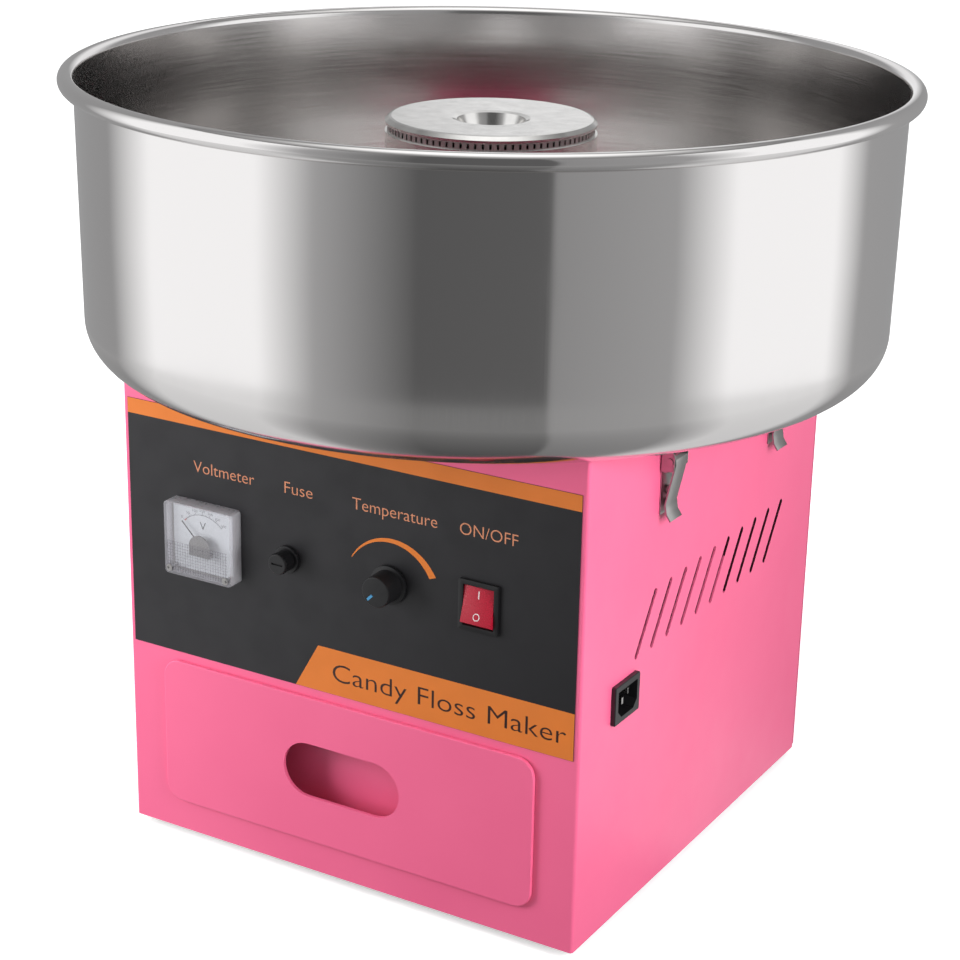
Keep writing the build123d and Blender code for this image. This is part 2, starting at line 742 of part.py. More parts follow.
mark_length = 4.6
mark_width = 1.5
mark_edge = 1.6                 # knob's rim to the outer end of its pointer
mark_depth = 0.6
mark_proud = 0.2
with BuildPart() as temperature_knob:
    discs(front(knob_back), knob_place, skirt_radius, knob_skirt)
    with BuildSketch(front(knob_back + knob_skirt)):
        with Locations(*knob_place):
            Circle(knob_radius + knob_flare)
    extrude(amount=knob_height - knob_skirt, taper=2)
    fillet(temperature_knob.faces().sort_by(Axis.Y)[0].outer_wire().edges(), 0.7)
    discs(front(knob_back), knob_place, nut_recess, recess_depth, Mode.SUBTRACT)
    discs(front(knob_back), knob_place, pot_shaft_radius, knob_height - knob_cap, Mode.SUBTRACT)
    with BuildSketch(front(knob_face)):
        with Locations(Location((knob_x, control_z), knob_start)):
            with Locations((knob_radius - mark_edge, 0)):
                Rectangle(mark_length, mark_width, align=(Align.MAX, Align.CENTER))
    extrude(amount=-mark_depth, mode=Mode.SUBTRACT)
save(temperature_knob, "temperature_knob")

with BuildPart() as knob_pointer:
    with BuildSketch(front(knob_face - mark_depth)):
        with Locations(Location((knob_x, control_z), knob_start)):
            with Locations((knob_radius - mark_edge, 0)):
                Rectangle(mark_length, mark_width, align=(Align.MAX, Align.CENTER))
    extrude(amount=mark_depth + mark_proud)
save(knob_pointer, "knob_pointer")

# ---------------------------------------------------------------- rocker switch

bezel = 2.0
rocker_pivot = -front_y - 2.0
rocker_reach = 12.2
rocker_half = switch_width / 2 - 3.3
switch_depth = 20.0
switch_back = 4.0
rocker_side_gap = 0.3
rocker_end_gap = 0.4
stub_radius = 1.2
stub_length = 0.8
with BuildPart() as switch_housing:
    with BuildSketch(front(decal_face)):
        with Locations((switch_x, control_z)):
            RectangleRounded(switch_width, switch_height, 1.2)
    extrude(amount=bezel)
    with BuildSketch(front(decal_face)):
        with Locations((switch_x, control_z)):
            Rectangle(switch_body_width, switch_body_height)
    extrude(amount=-switch_depth)
    with BuildSketch(front(decal_face + bezel)):
        with Locations((switch_x, control_z)):
            Rectangle(2 * (rocker_half + rocker_side_gap), 2 * (rocker_reach + rocker_end_gap))
    extrude(amount=-(bezel + switch_depth - switch_back), mode=Mode.SUBTRACT)
    with BuildSketch(Plane.YZ.offset(switch_x)):
        with Locations((-rocker_pivot, control_z)):
            Circle(stub_radius + running_fit)
    extrude(amount=switch_body_width / 2 + 1, both=True, mode=Mode.SUBTRACT)
save(switch_housing, "switch_housing")

tilt = radians(rocker_tilt)
rocker_plane = Plane(
    origin=(switch_x, -rocker_pivot, control_z), x_dir=(0, -cos(tilt), sin(tilt)), z_dir=(-1, 0, 0)
)
rocker_valley = 4.4
rocker_crest = 5.6
rocker_root = -4.0
with BuildPart() as switch_rocker:
    with BuildSketch(rocker_plane):
        Circle(rocker_reach)
        Polygon(
            (rocker_valley, 0), (rocker_crest, rocker_reach), (3 * rocker_reach, rocker_reach),
            (3 * rocker_reach, -rocker_reach), (rocker_crest, -rocker_reach),
            align=None, mode=Mode.SUBTRACT,
        )
        with Locations((rocker_root - rocker_reach, 0)):
            Rectangle(2 * rocker_reach, 3 * rocker_reach, mode=Mode.SUBTRACT)
    extrude(amount=rocker_half, both=True)
    with BuildSketch(rocker_plane):
        Circle(stub_radius)
    extrude(amount=rocker_half + stub_length, both=True)
save(switch_rocker, "switch_rocker")

# ---------------------------------------------------------------- mains inlet

socket_width = 24.0
socket_height = 17.0
socket_chamfer = 4.5
socket_depth = 17.0
inlet_depth = 24.0
pin_spacing = 7.0
pin_offset = 2.0
pin_sunk = 3.5                  # flange face to the pins' tips
with BuildPart() as inlet_housing:
    with BuildSketch(Plane.YZ.offset(side_x)):
        with Locations((inlet_y, inlet_z)):
            RectangleRounded(inlet_width, inlet_height, 1.5)
    extrude(amount=inlet_flange)
    chamfer(inlet_housing.faces().sort_by(Axis.X)[-1].outer_wire().edges(), 0.5)
    with BuildSketch(Plane.YZ.offset(side_x)):
        with Locations((inlet_y, inlet_z)):
            Rectangle(inlet_body_width, inlet_body_height)
    extrude(amount=-inlet_depth)
    with BuildSketch(Plane.YZ.offset(side_x + inlet_flange)) as socket:
        with Locations((inlet_y, inlet_z)):
            Rectangle(socket_width, socket_height)
        chamfer(socket.vertices().group_by(Axis.Y)[0], socket_chamfer)
    extrude(amount=-socket_depth, mode=Mode.SUBTRACT)
save(inlet_housing, "inlet_housing")

with BuildPart() as inlet_pins:
    with BuildSketch(Plane.YZ.offset(side_x + inlet_flange - socket_depth)):
        with Locations(*[(inlet_y + s * pin_spacing, inlet_z + pin_offset) for s in (-1, 1)]):
            Rectangle(2.0, 4.0)
        with Locations((inlet_y, inlet_z - pin_offset)):
            Rectangle(2.0, 4.0)
    extrude(amount=socket_depth - pin_sunk)
save(inlet_pins, "inlet_pins")

# ---------------------------------------------------------------- motor and drive

plate_drop = 15.0
mount_top = shell_top
motor_plate_top = mount_top - plate_drop
motor_plate_thickness = 3.0
motor_top = motor_plate_top - motor_plate_thickness
motor_bottom = motor_top - motor_length
motor_wall = 3.0
mount_radius = 8.0
bearing_radius = 13.0
bearing_width = 8.0
bearing_lip = 2.0
bell = 11.0
cover_hole = 16.0
drum_round = 4.0
neck_round = 2.0
with BuildPart() as motor_cover:
    with BuildSketch(Plane.XZ):
        with BuildLine():
            outside = FilletPolyline(
                (drum_radius, top_z),
                (drum_radius, drum_top),
                (neck_radius, drum_top),
                (neck_radius, cover_top),
                (cover_hole, cover_top),
                radius=[drum_round, neck_round, neck_round],
            )
            inside = FilletPolyline(
                (cover_hole, cover_top - sheet),
                (neck_radius - sheet, cover_top - sheet),
                (neck_radius - sheet, drum_top - sheet),
                (drum_radius - sheet, drum_top - sheet),
                (drum_radius - sheet, top_z + sheet),
                radius=[neck_round - sheet, neck_round + sheet, drum_round - sheet],
            )
            Line(outside @ 1, inside @ 0)
            flange_edge = drum_radius - cover_flange
            Polyline(inside @ 1, (flange_edge, top_z + sheet), (flange_edge, top_z), outside @ 0)
        make_face()
    revolve(axis=Axis.Z)
    discs(Plane.XY.offset(top_z), cover_screw_places, screw_radius, sheet, Mode.SUBTRACT)
save(motor_cover, "motor_cover")

with BuildPart() as motor_plate:
    with BuildSketch(Plane.XY.offset(motor_top)):
        Circle(mount_pcd / 2 + mount_radius + 4)
        Circle(bearing_radius + 4, mode=Mode.SUBTRACT)
        with PolarLocations(mount_pcd / 2, mount_count):
            Circle(mount_screw_radius, mode=Mode.SUBTRACT)
    extrude(amount=motor_plate_thickness)
save(motor_plate, "motor_plate")

with BuildPart() as rubber_mounts:
    with BuildSketch(Plane.XY.offset(motor_plate_top)):
        with PolarLocations(mount_pcd / 2, mount_count):
            Circle(mount_radius)
    extrude(amount=plate_drop)
    with BuildSketch(Plane.XY.offset(motor_top)):
        with PolarLocations(mount_pcd / 2, mount_count):
            Circle(mount_screw_radius)
    extrude(amount=motor_plate_thickness)
    with BuildSketch(Plane.XY.offset(mount_top)):
        with PolarLocations(mount_pcd / 2, mount_count):
            Circle(mount_screw_radius)
    extrude(amount=sheet)
save(rubber_mounts, "rubber_mounts")

with BuildPart() as motor_housing:
    ring(motor_bottom, motor_length, motor_radius, motor_radius - motor_wall)
    ring(motor_bottom, bell, motor_radius, bearing_radius)
    ring(motor_top - bell, bell, motor_radius, bearing_radius)
    ring(motor_bottom, bearing_lip, bearing_radius + 1, shaft_radius + 2)
    ring(motor_top - bearing_lip, bearing_lip, bearing_radius + 1, shaft_radius + 2)
save(motor_housing, "motor_housing")

with BuildPart() as bearings:
    bearing_bore = shaft_radius + running_fit
    ring(motor_bottom + bearing_lip, bearing_width, bearing_radius, bearing_bore)
    ring(motor_top - bearing_lip - bearing_width, bearing_width, bearing_radius, bearing_bore)
save(bearings, "bearings")

air_gap = 0.6
rotor_radius = 25.0
winding_room = 8.0
stack_bottom = motor_bottom + bell + winding_room
stack_height = motor_length - 2 * (bell + winding_room)
with BuildPart() as motor_stator:
    ring(stack_bottom, stack_height, motor_radius - motor_wall, rotor_radius + air_gap)
save(motor_stator, "motor_stator")

with BuildPart() as motor_rotor:
    ring(stack_bottom, stack_height, rotor_radius, shaft_radius)
save(motor_rotor, "motor_rotor")

fan_height = 12.0
fan_gap = 3.0
fan_top = motor_bottom - fan_gap
fan_bottom = fan_top - fan_height
fan_blades = 8
fan_hub = 11.0
fan_sheet = 1.5
blade_start = fan_hub - 0.5
with BuildPart() as cooling_fan:
    ring(fan_bottom, fan_height, fan_hub, shaft_radius)
    ring(fan_top - fan_sheet, fan_sheet, fan_radius - 4, blade_start)
    with BuildSketch(Plane.XY.offset(fan_bottom)):
        with PolarLocations(blade_start, fan_blades):
            Rectangle(fan_radius - blade_start, fan_sheet, align=(Align.MIN, Align.CENTER))
    extrude(amount=fan_height)
save(cooling_fan, "cooling_fan")

hub_z = head_bottom + 6.0
hub_top = hub_z + 6.0
shaft_top = head_top - 12.0
shaft_bottom = fan_bottom - 2.0
with BuildPart() as drive_shaft:
    discs(Plane.XY.offset(shaft_bottom), [(0, 0)], shaft_radius, shaft_top - shaft_bottom)
save(drive_shaft, "drive_shaft")

slip_insulator_radius = 13.0
slip_radius = 17.0
slip_z = top_z + 30.0
slip_height = 9.0
slip_pitch = 15.0
slip_end = 4.0
slip_length = slip_pitch + slip_height + 2 * slip_end
with BuildPart() as slip_rings:
    ring(slip_z - slip_end, slip_length, slip_insulator_radius, shaft_radius)
    ring(slip_z, slip_height, slip_radius, slip_insulator_radius)
    ring(slip_z + slip_pitch, slip_height, slip_radius, slip_insulator_radius)
save(slip_rings, "slip_rings")

brush_gap = 0.3
brush_width = 6.0
brush_height = 7.0
holder_x = slip_radius + 6.0
holder_depth = 14.0
holder_width = 16.0
holder_back = 2.0
post_x = 8.0                    # front of the holder to its post
post_width = 12.0
post_sheet = 3.0
post_foot = 2.0
brush_zs = [slip_z + slip_height / 2 + i * slip_pitch for i in range(2)]
with BuildPart() as brush_holder:
    with BuildSketch(Plane.XY.offset(slip_z - slip_end)):
        with Locations((holder_x, 0)):
            Rectangle(holder_depth, holder_width, align=(Align.MIN, Align.CENTER))
    extrude(amount=slip_length)
    with BuildSketch(Plane.YZ.offset(holder_x)):
        with Locations(*[(0, z) for z in brush_zs]):
            Rectangle(brush_width, brush_height)
    extrude(amount=holder_depth - holder_back, mode=Mode.SUBTRACT)
    with BuildSketch(Plane.XY.offset(motor_plate_top)):
        with Locations((holder_x + post_x, 0)):
            Rectangle(post_sheet, post_width, align=(Align.MIN, Align.CENTER))
    extrude(amount=slip_z - slip_end - motor_plate_top)
    with BuildSketch(Plane.XY.offset(motor_plate_top)):
        with Locations((holder_x, 0)):
            Rectangle(post_x + post_sheet, post_width, align=(Align.MIN, Align.CENTER))
    extrude(amount=post_foot)
save(brush_holder, "brush_holder")

brush_length = holder_x - slip_radius - brush_gap + holder_depth - 2 * holder_back
with BuildPart() as brushes:
    with BuildSketch(Plane.YZ.offset(slip_radius + brush_gap)):
        with Locations(*[(0, z) for z in brush_zs]):
            Rectangle(brush_width, brush_height)
    extrude(amount=brush_length)
save(brushes, "brushes")

# ---------------------------------------------------------------- sugar head

head_sheet = 1.5
pan_floor_radius = 46.0
pan_rise = 18.0
pan_seat = 2.0                  # thicker rim that the band stands on
band_height = 5.0
band_sheet = 0.8
band_inset = 1.5
cover_edge = 4.0
band_top = head_top - cover_edge
band_bottom = band_top - band_height
band_radius = head_radius - band_inset
pan_inner = head_radius - head_sheet
head_hub_radius = 14.0
with BuildPart() as head_pan:
    with BuildSketch(Plane.XZ):
        Polygon(
            (shaft_radius, head_bottom), (pan_floor_radius, head_bottom),
            (head_radius, head_bottom + pan_rise), (head_radius, band_bottom),
            (pan_inner - pan_seat, band_bottom), (pan_inner, band_bottom - pan_seat),
            (pan_inner, head_bottom + pan_rise + 1.0),
            (pan_floor_radius - 1.0, head_bottom + head_sheet), (head_hub_radius, head_bottom + head_sheet),
            (head_hub_radius, hub_top), (shaft_radius, hub_top),
            align=None,
        )
    revolve(axis=Axis.Z)
save(head_pan, "head_pan")

band_slots = 90
band_slot_width = 1.4
band_margin = 1.0
with BuildPart() as head_band:
    ring(band_bottom, band_height, band_radius, band_radius - band_sheet)
    with BuildSketch(Plane.XY.offset(band_bottom + band_margin)):
        with PolarLocations(band_radius, band_slots):
            Rectangle(4 * band_sheet, band_slot_width)
    extrude(amount=band_height - 2 * band_margin, mode=Mode.SUBTRACT)
save(head_band, "head_band")

funnel_neck = 15.0
funnel_drop = 20.0
dish_radius = funnel_radius + 3.0
cover_seat = band_radius - band_sheet - 1.5
with BuildPart() as head_cover:
    with BuildSketch(Plane.XZ):
        Polygon(
            (cover_seat, band_top), (head_radius, band_top),
            (head_radius, head_top - 2.6), (head_top_radius + 1.5, head_top - 0.4),
            (head_top_radius, head_top), (dish_radius, head_top - 1.0), (funnel_radius, head_top - 1.8),
            (funnel_neck, head_top - funnel_drop), (funnel_neck + head_sheet, head_top - funnel_drop),
            (funnel_radius + 1.0, head_top - 3.2), (dish_radius + 0.5, head_top - 2.6),
            (cover_seat, head_top - 1.8),
            align=None,
        )
    revolve(axis=Axis.Z)
save(head_cover, "head_cover")

coil_radius = 50.0
coil_wire = 3.0
coil_z = head_top - 12.0
with BuildPart() as heater_coil:
    with BuildSketch(Plane.XZ):
        with Locations((coil_radius, coil_z)):
            Circle(coil_wire)
    revolve(axis=Axis.Z)
save(heater_coil, "heater_coil")

insulator_count = 6
insulator_radius = 5.0
insulator_foot = head_bottom + head_sheet
insulator_x = 40.0
finger_sheet = 4.0              # finger of the insulator that carries the coil
finger_length = coil_radius - insulator_x - coil_wire - 0.2
with BuildPart() as heater_insulators:
    with BuildSketch(Plane.XY.offset(insulator_foot)):
        with PolarLocations(insulator_x, insulator_count):
            Circle(insulator_radius)
    extrude(amount=coil_z - insulator_foot + coil_wire + 2)
    with BuildSketch(Plane.XY.offset(coil_z - finger_sheet / 2)):
        with PolarLocations(insulator_x, insulator_count):
            Rectangle(finger_length, finger_sheet, align=(Align.MIN, Align.CENTER))
    extrude(amount=finger_sheet)
save(heater_insulators, "heater_insulators")

stud_x = 27.0
stud_radius = 2.5
stud_gap = 3.0                  # stud's end to the top of the head
with BuildPart() as head_studs:
    with BuildSketch(Plane.XY.offset(insulator_foot)):
        with PolarLocations(stud_x, 3, start_angle=30):
            Circle(stud_radius)
    extrude(amount=head_top - stud_gap - insulator_foot)
save(head_studs, "head_studs")

nut_radius = 9.0
head_nut_height = 8.0
with BuildPart() as head_nut:
    with BuildSketch(Plane.XY.offset(hub_top)):
        RegularPolygon(nut_radius, 6)
        Circle(shaft_radius, mode=Mode.SUBTRACT)
    extrude(amount=head_nut_height)
save(head_nut, "head_nut")

# ---------------------------------------------------------------- control board

board_standoff = 8.0
board_x = -side_x + sheet + board_standoff
board_length = 90.0
board_height = 60.0
board_y = 70.0
board_z = 200.0
board_sheet = 1.6
board_parts = 16.0
standoff_inset = 10.0
with BuildPart() as control_board:
    with BuildSketch(Plane.YZ.offset(board_x)):
        with Locations((board_y, board_z)):
            Rectangle(board_length, board_height)
    extrude(amount=board_sheet)
    with BuildSketch(Plane.YZ.offset(board_x + board_sheet)):
        with Locations((board_y - 22, board_z + 5)):
            Rectangle(26.0, 30.0)
        with Locations((board_y + 8, board_z - 12)):
            Rectangle(18.0, 14.0)
        with Locations((board_y + 30, board_z + 12)):
            Circle(8.0)
    extrude(amount=board_parts)
    with BuildSketch(Plane.YZ.offset(board_x)):
        with Locations((board_y, board_z)):
            with GridLocations(board_length - standoff_inset, board_height - standoff_inset, 2, 2):
                Circle(3.0)
    extrude(amount=-board_standoff)
save(control_board, "control_board")

# ---------------------------------------------------------------- travels

fuse_pull = fuse_length + 25.0
print("bowl lifts", bowl_lift, "mm, drawer opens", drawer_travel, "mm, fuse comes out", fuse_pull, "mm")
print("latches swing", latch_swing, "degrees and the needle", needle_sweep, "degrees")
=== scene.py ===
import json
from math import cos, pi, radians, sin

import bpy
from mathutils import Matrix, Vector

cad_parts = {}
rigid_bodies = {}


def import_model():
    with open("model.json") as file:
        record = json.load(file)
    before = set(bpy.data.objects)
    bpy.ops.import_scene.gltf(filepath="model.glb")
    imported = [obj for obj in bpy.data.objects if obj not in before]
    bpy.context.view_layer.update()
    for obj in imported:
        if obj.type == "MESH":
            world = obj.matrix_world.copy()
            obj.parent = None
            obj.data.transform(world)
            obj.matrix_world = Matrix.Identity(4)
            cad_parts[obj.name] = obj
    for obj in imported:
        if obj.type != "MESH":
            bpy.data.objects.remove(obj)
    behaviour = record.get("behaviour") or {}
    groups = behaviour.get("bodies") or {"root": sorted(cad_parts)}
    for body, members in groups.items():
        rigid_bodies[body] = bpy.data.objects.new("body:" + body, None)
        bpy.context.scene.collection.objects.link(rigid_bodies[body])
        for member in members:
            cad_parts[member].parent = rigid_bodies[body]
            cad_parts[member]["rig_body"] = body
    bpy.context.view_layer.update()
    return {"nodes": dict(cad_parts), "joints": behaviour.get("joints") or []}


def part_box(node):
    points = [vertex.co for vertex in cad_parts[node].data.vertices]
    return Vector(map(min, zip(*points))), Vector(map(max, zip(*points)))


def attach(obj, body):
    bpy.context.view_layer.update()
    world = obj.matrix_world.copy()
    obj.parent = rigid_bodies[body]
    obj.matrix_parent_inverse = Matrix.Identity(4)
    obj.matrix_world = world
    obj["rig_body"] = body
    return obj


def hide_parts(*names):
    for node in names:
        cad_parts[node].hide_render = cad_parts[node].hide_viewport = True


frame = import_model()

# %% [markdown]
# # A table-top cotton candy machine
#
# The working parts come ready-made from the CAD model: the folded case, the drawer, the latches, the
# sugar head and everything inside. This file builds a small studio round them, gives each its finish,
# and models what shows most closely: the spun bowl, the printed panel, the dial of the meter and its
# ribbed cover, and the rounded edges of pressed and moulded pieces. Lengths are in metres, +Z is up and
# the control panel faces -Y.

MM = 0.001

# %% [markdown]
# ## The camera
#
# A long lens a few steps away keeps the upright edges nearly parallel. The camera stands in front of
# the right corner of the case and looks down into the bowl. Its directions are worked out from two
# angles and a slight roll, as on a tripod head, and put into its matrix.

# %% camera
CAMERA_PLACE = Vector((0.6993, -1.2005, 0.7196))
CAMERA_TURN = radians(30.32)      # round to the right of straight in front
CAMERA_TILT = radians(19.78)      # downwards
CAMERA_ROLL = radians(1.18)
CAMERA_LENS = 85.9

level_forward = Vector((-sin(CAMERA_TURN), cos(CAMERA_TURN), 0))
level_right = Vector((cos(CAMERA_TURN), sin(CAMERA_TURN), 0))
forward = level_forward * cos(CAMERA_TILT) - Vector((0, 0, sin(CAMERA_TILT)))
level_up = level_right.cross(forward)
camera_right = level_right * cos(CAMERA_ROLL) + level_up * sin(CAMERA_ROLL)
camera_up = level_up * cos(CAMERA_ROLL) - level_right * sin(CAMERA_ROLL)

camera_data = bpy.data.cameras.new("camera")
camera_data.lens = CAMERA_LENS
camera_data.sensor_width = 36
camera_data.clip_start = 0.01
camera = bpy.data.objects.new("camera", camera_data)
bpy.context.scene.collection.objects.link(camera)
aim = Matrix((camera_right, camera_up, -forward)).transposed().to_4x4()
camera.matrix_world = Matrix.Translation(CAMERA_PLACE) @ aim
bpy.context.scene.camera = camera
print("camera", round(CAMERA_PLACE.length, 2), "m from the machine's foot")

# %% [markdown]
# ## Writing shaders as sums
#
# Shader maths is easier to read as Python than as a list of Math nodes. `Wire` holds one output socket,
# and its operators add the Math nodes. `Finish` holds a material while it is built. Its `node` method
# adds any other node: first the node's settings, then the values or wires of its inputs.

# %% shader helpers
class Wire:
    """One output of a shader node. Sums with it add Math nodes."""

    def __init__(self, finish, socket):
        self.finish = finish
        self.socket = socket

    def maths(self, operation, *values):
        inputs = dict(enumerate(values))
        return self.finish.node("ShaderNodeMath", {"operation": operation}, inputs)

    def __add__(self, other):
        return self.maths("ADD", self, other)

    def __rsub__(self, other):
        return self.maths("SUBTRACT", other, self)

    def __mul__(self, other):
        return self.maths("MULTIPLY", self, other)

    def __truediv__(self, other):
        return self.maths("DIVIDE", self, other)

    def __pow__(self, other):
        return self.maths("POWER", self, other)

    def __lt__(self, other):
        return self.maths("LESS_THAN", self, other)

    __radd__ = __add__
    __rmul__ = __mul__


class Finish:
    """A material, or the world's light, while it is built."""

    def __init__(self, name, owner=None):
        self.material = owner or bpy.data.materials.new(name)
        self.material.use_nodes = True
        self.tree = self.material.node_tree
        self.tree.nodes.clear()

    def node(self, kind, settings=None, inputs=None, output=0):
        """Add a node: its settings first, then its inputs. The wire of one output comes back."""
        made = self.tree.nodes.new(kind)
        for name, value in (settings or {}).items():
            if name == "stops":
                ramp = made.color_ramp
                while len(ramp.elements) < len(value):
                    ramp.elements.new(0.5)
                for element, (place, shade) in zip(ramp.elements, value):
                    element.position = place
                    element.color = (*shade, 1)
            else:
                setattr(made, name, value)
        for name, value in (inputs or {}).items():
            socket = made.inputs[name]
            if isinstance(value, Wire):
                self.tree.links.new(value.socket, socket)
            else:
                socket.default_value = value
        return Wire(self, made.outputs[output]) if made.outputs else None

    def here(self):
        """Object coordinates in metres."""
        return self.node("ShaderNodeTexCoord", output="Object")

    def parts(self, vector):
        """The x, y and z of a vector."""
        split = self.node("ShaderNodeSeparateXYZ", {}, {0: vector})
        return [Wire(self, socket) for socket in split.socket.node.outputs]

    def facing(self):
        """The direction that the surface faces."""
        return self.node("ShaderNodeNewGeometry", output="Normal")

    def level(self):
        """Object coordinates with the height taken out."""
        return self.node("ShaderNodeVectorMath", {"operation": "MULTIPLY"}, {0: self.here(), 1: (1, 1, 0)})

    def length(self, vector):
        """The distance of a place from the shaft's foot."""
        return self.node("ShaderNodeVectorMath", {"operation": "LENGTH"}, {0: vector}, 1)

    def turn(self, along, across):
        """The angle of a direction, in radians."""
        return self.node("ShaderNodeMath", {"operation": "ARCTAN2"}, {0: along, 1: across})

    def dot(self, first, second):
        """How far one vector reaches along another."""
        return self.node("ShaderNodeVectorMath", {"operation": "DOT_PRODUCT"}, {0: first, 1: second}, 1)

    def noise(self, size, scale=(1, 1, 1), detail=3.0, where=None):
        """Noise about 0.5 whose lumps are `size` metres across."""
        where = where or self.node("ShaderNodeMapping", {}, {"Vector": self.here(), "Scale": scale})
        inputs = {"Vector": where, "Scale": 1 / size, "Detail": detail}
        return self.node("ShaderNodeTexNoise", {}, inputs, "Fac")

    def spread(self, value, low, high, start=0.3, end=0.7):
        """A value that runs from start to end, spread over low to high."""
        limits = {"Value": value, "From Min": start, "From Max": end, "To Min": low, "To Max": high}
        return self.node("ShaderNodeMapRange", {}, limits)

    def mix(self, amount, first, second):
        """One colour turning into another."""
        first = first if isinstance(first, Wire) else (*first, 1)
        second = second if isinstance(second, Wire) else (*second, 1)
        return self.node("ShaderNodeMix", {"data_type": "RGBA"}, {0: amount, 6: first, 7: second}, 2)

    def bump(self, height, distance):
        """A bump whose height of 1 stands `distance` metres proud."""
        return self.node("ShaderNodeBump", {}, {"Height": height, "Distance": distance})

    def surface(self, **inputs):
        """End the material with the Principled shader. Underscores stand for spaces."""
        named = {name.replace("_", " "): value for name, value in inputs.items()}
        for name, value in named.items():
            if "Color" in name and not isinstance(value, Wire):
                named[name] = (*value, 1)
        shader = self.node("ShaderNodeBsdfPrincipled", {}, named)
        self.node("ShaderNodeOutputMaterial", {}, {"Surface": shader})
        return self.material


print("shader helpers ready")

# %% [markdown]
# ## The studio
#
# Polished steel has no colour of its own: what is seen is the room. So the room is built for the bowl.
# A tall ring stands round the machine and only reflections can see it: white panels to the left and
# right, a dark one in front where the camera stands, and grey between them. A card on the floor, also
# seen only in reflections, gives the round lower edge of the bowl something darker to mirror. Soft
# lamps that reflections don't see do the lighting, so each can be tuned alone.

# %% floor
def stage_mesh(name, points, faces):
    """A plain mesh of the studio."""
    mesh = bpy.data.meshes.new(name)
    mesh.from_pydata(points, [], faces)
    thing = bpy.data.objects.new(name, mesh)
    bpy.context.scene.collection.objects.link(thing)
    return thing


FLOOR_REACH = 9.0
FLOOR_FADE = 2.2
FLOOR_WHITE = (0.93, 0.93, 0.93)
FLOOR_GLOW = ((0.08, 0.45), (0.30, 0.75), (1.0, 1.0))


def greys(stops):
    """Stops of a ramp from (place, shade) pairs."""
    return [(place, (shade, shade, shade)) for place, shade in stops]


corners = [(x * FLOOR_REACH, y * FLOOR_REACH, 0) for x, y in ((-1, -1), (1, -1), (1, 1), (-1, 1))]
floor = stage_mesh("floor", corners, [(0, 1, 2, 3)])
finish = Finish("floor_card")
reach = finish.length(finish.here())
glow = finish.node("ShaderNodeValToRGB", {"stops": greys(FLOOR_GLOW)}, {0: reach / FLOOR_FADE})
floor.data.materials.append(
    finish.surface(Base_Color=FLOOR_WHITE, Roughness=0.9, Emission_Color=glow, Emission_Strength=1.0)
)
floor.visible_glossy = False
floor.visible_diffuse = False
print("floor", 2 * FLOOR_REACH, "m wide")

# %% cards that only reflections see
RING_RADIUS = 1.15
RING_TOP = 1.6
RING_STEPS = 180
FLOOR_CARD_HEIGHT = 0.0005
CEILING_SHADES = ((0.0, 1.5), (0.3, 1.2), (0.6, 0.45), (1.0, 0.2))
FLOOR_SHADES = ((0.0, 0.03), (0.2, 0.05), (0.45, 0.18), (1.0, 0.4))
FLOOR_STREAK = 0.6


def ring_point(step, height):
    """A point of the ring; step 0 is at the camera's side and steps go to the right."""
    angle = CAMERA_TURN - pi / 2 + 2 * pi * step / RING_STEPS
    return (RING_RADIUS * cos(angle), RING_RADIUS * sin(angle), height)


def round_of(height):
    """The points of the ring at one height."""
    return [ring_point(step, height) for step in range(RING_STEPS)]


ring_faces = [
    (step, (step + 1) % RING_STEPS, (step + 1) % RING_STEPS + RING_STEPS, step + RING_STEPS)
    for step in range(RING_STEPS)
]
whole = [tuple(range(RING_STEPS))]
ring = stage_mesh("reflection_ring", round_of(0.0) + round_of(RING_TOP), ring_faces)
ceiling = stage_mesh("reflection_ceiling", round_of(RING_TOP), whole)
floor_card = stage_mesh("reflection_floor", round_of(FLOOR_CARD_HEIGHT), whole)
for card in (ring, ceiling, floor_card):
    card.visible_camera = False
    card.visible_diffuse = False
    card.visible_shadow = False
    card.visible_transmission = False


def ring_stop(degrees, shade):
    """A stop of the ring's shades, `degrees` to the right of the camera."""
    return ((degrees + 180) / 360, (shade, shade, shade * 1.01))


RING_STOPS = [
    ring_stop(-180, 0.90), ring_stop(-165, 0.35), ring_stop(-115, 0.33), ring_stop(-94, 1.10),
    ring_stop(-58, 1.10), ring_stop(-42, 0.40), ring_stop(-18, 0.13), ring_stop(-16.8, 0.11),
    ring_stop(14.3, 0.12), ring_stop(15.5, 0.30), ring_stop(45, 0.38), ring_stop(62, 1.10),
    ring_stop(97, 1.10), ring_stop(112, 0.38), ring_stop(150, 0.33), ring_stop(165, 0.90),
]


def ring_shades(finish):
    """The ring's shades by direction, measured from the camera's side."""
    place = finish.node("ShaderNodeMapping", {}, {"Vector": finish.here(), "Rotation": (0, 0, -CAMERA_TURN)})
    across, along, _ = finish.parts(place)
    share = finish.turn(across, along * -1) / (2 * pi) + 0.5
    return finish.node("ShaderNodeValToRGB", {"stops": RING_STOPS}, {0: share})


def glowing(finish, shades):
    """End a studio card with light of its own."""
    light = finish.node("ShaderNodeEmission", {}, {"Color": shades, "Strength": 1.0})
    finish.node("ShaderNodeOutputMaterial", {}, {"Surface": light})
    return finish.material


def round_card(name, stops, streak):
    """A card whose shades run from its middle outwards, with some of the ring's shades in them."""
    finish = Finish(name)
    reach = finish.length(finish.level())
    shades = finish.node("ShaderNodeValToRGB", {"stops": greys(stops)}, {0: reach / RING_RADIUS})
    return glowing(finish, finish.mix(streak, shades, ring_shades(finish)))


finish = Finish("ring_card")
ring.data.materials.append(glowing(finish, ring_shades(finish)))
ceiling.data.materials.append(round_card("ceiling_card", CEILING_SHADES, 0.0))
floor_card.data.materials.append(round_card("floor_reflection", FLOOR_SHADES, FLOOR_STREAK))
print("reflection ring", RING_RADIUS, "m in radius")

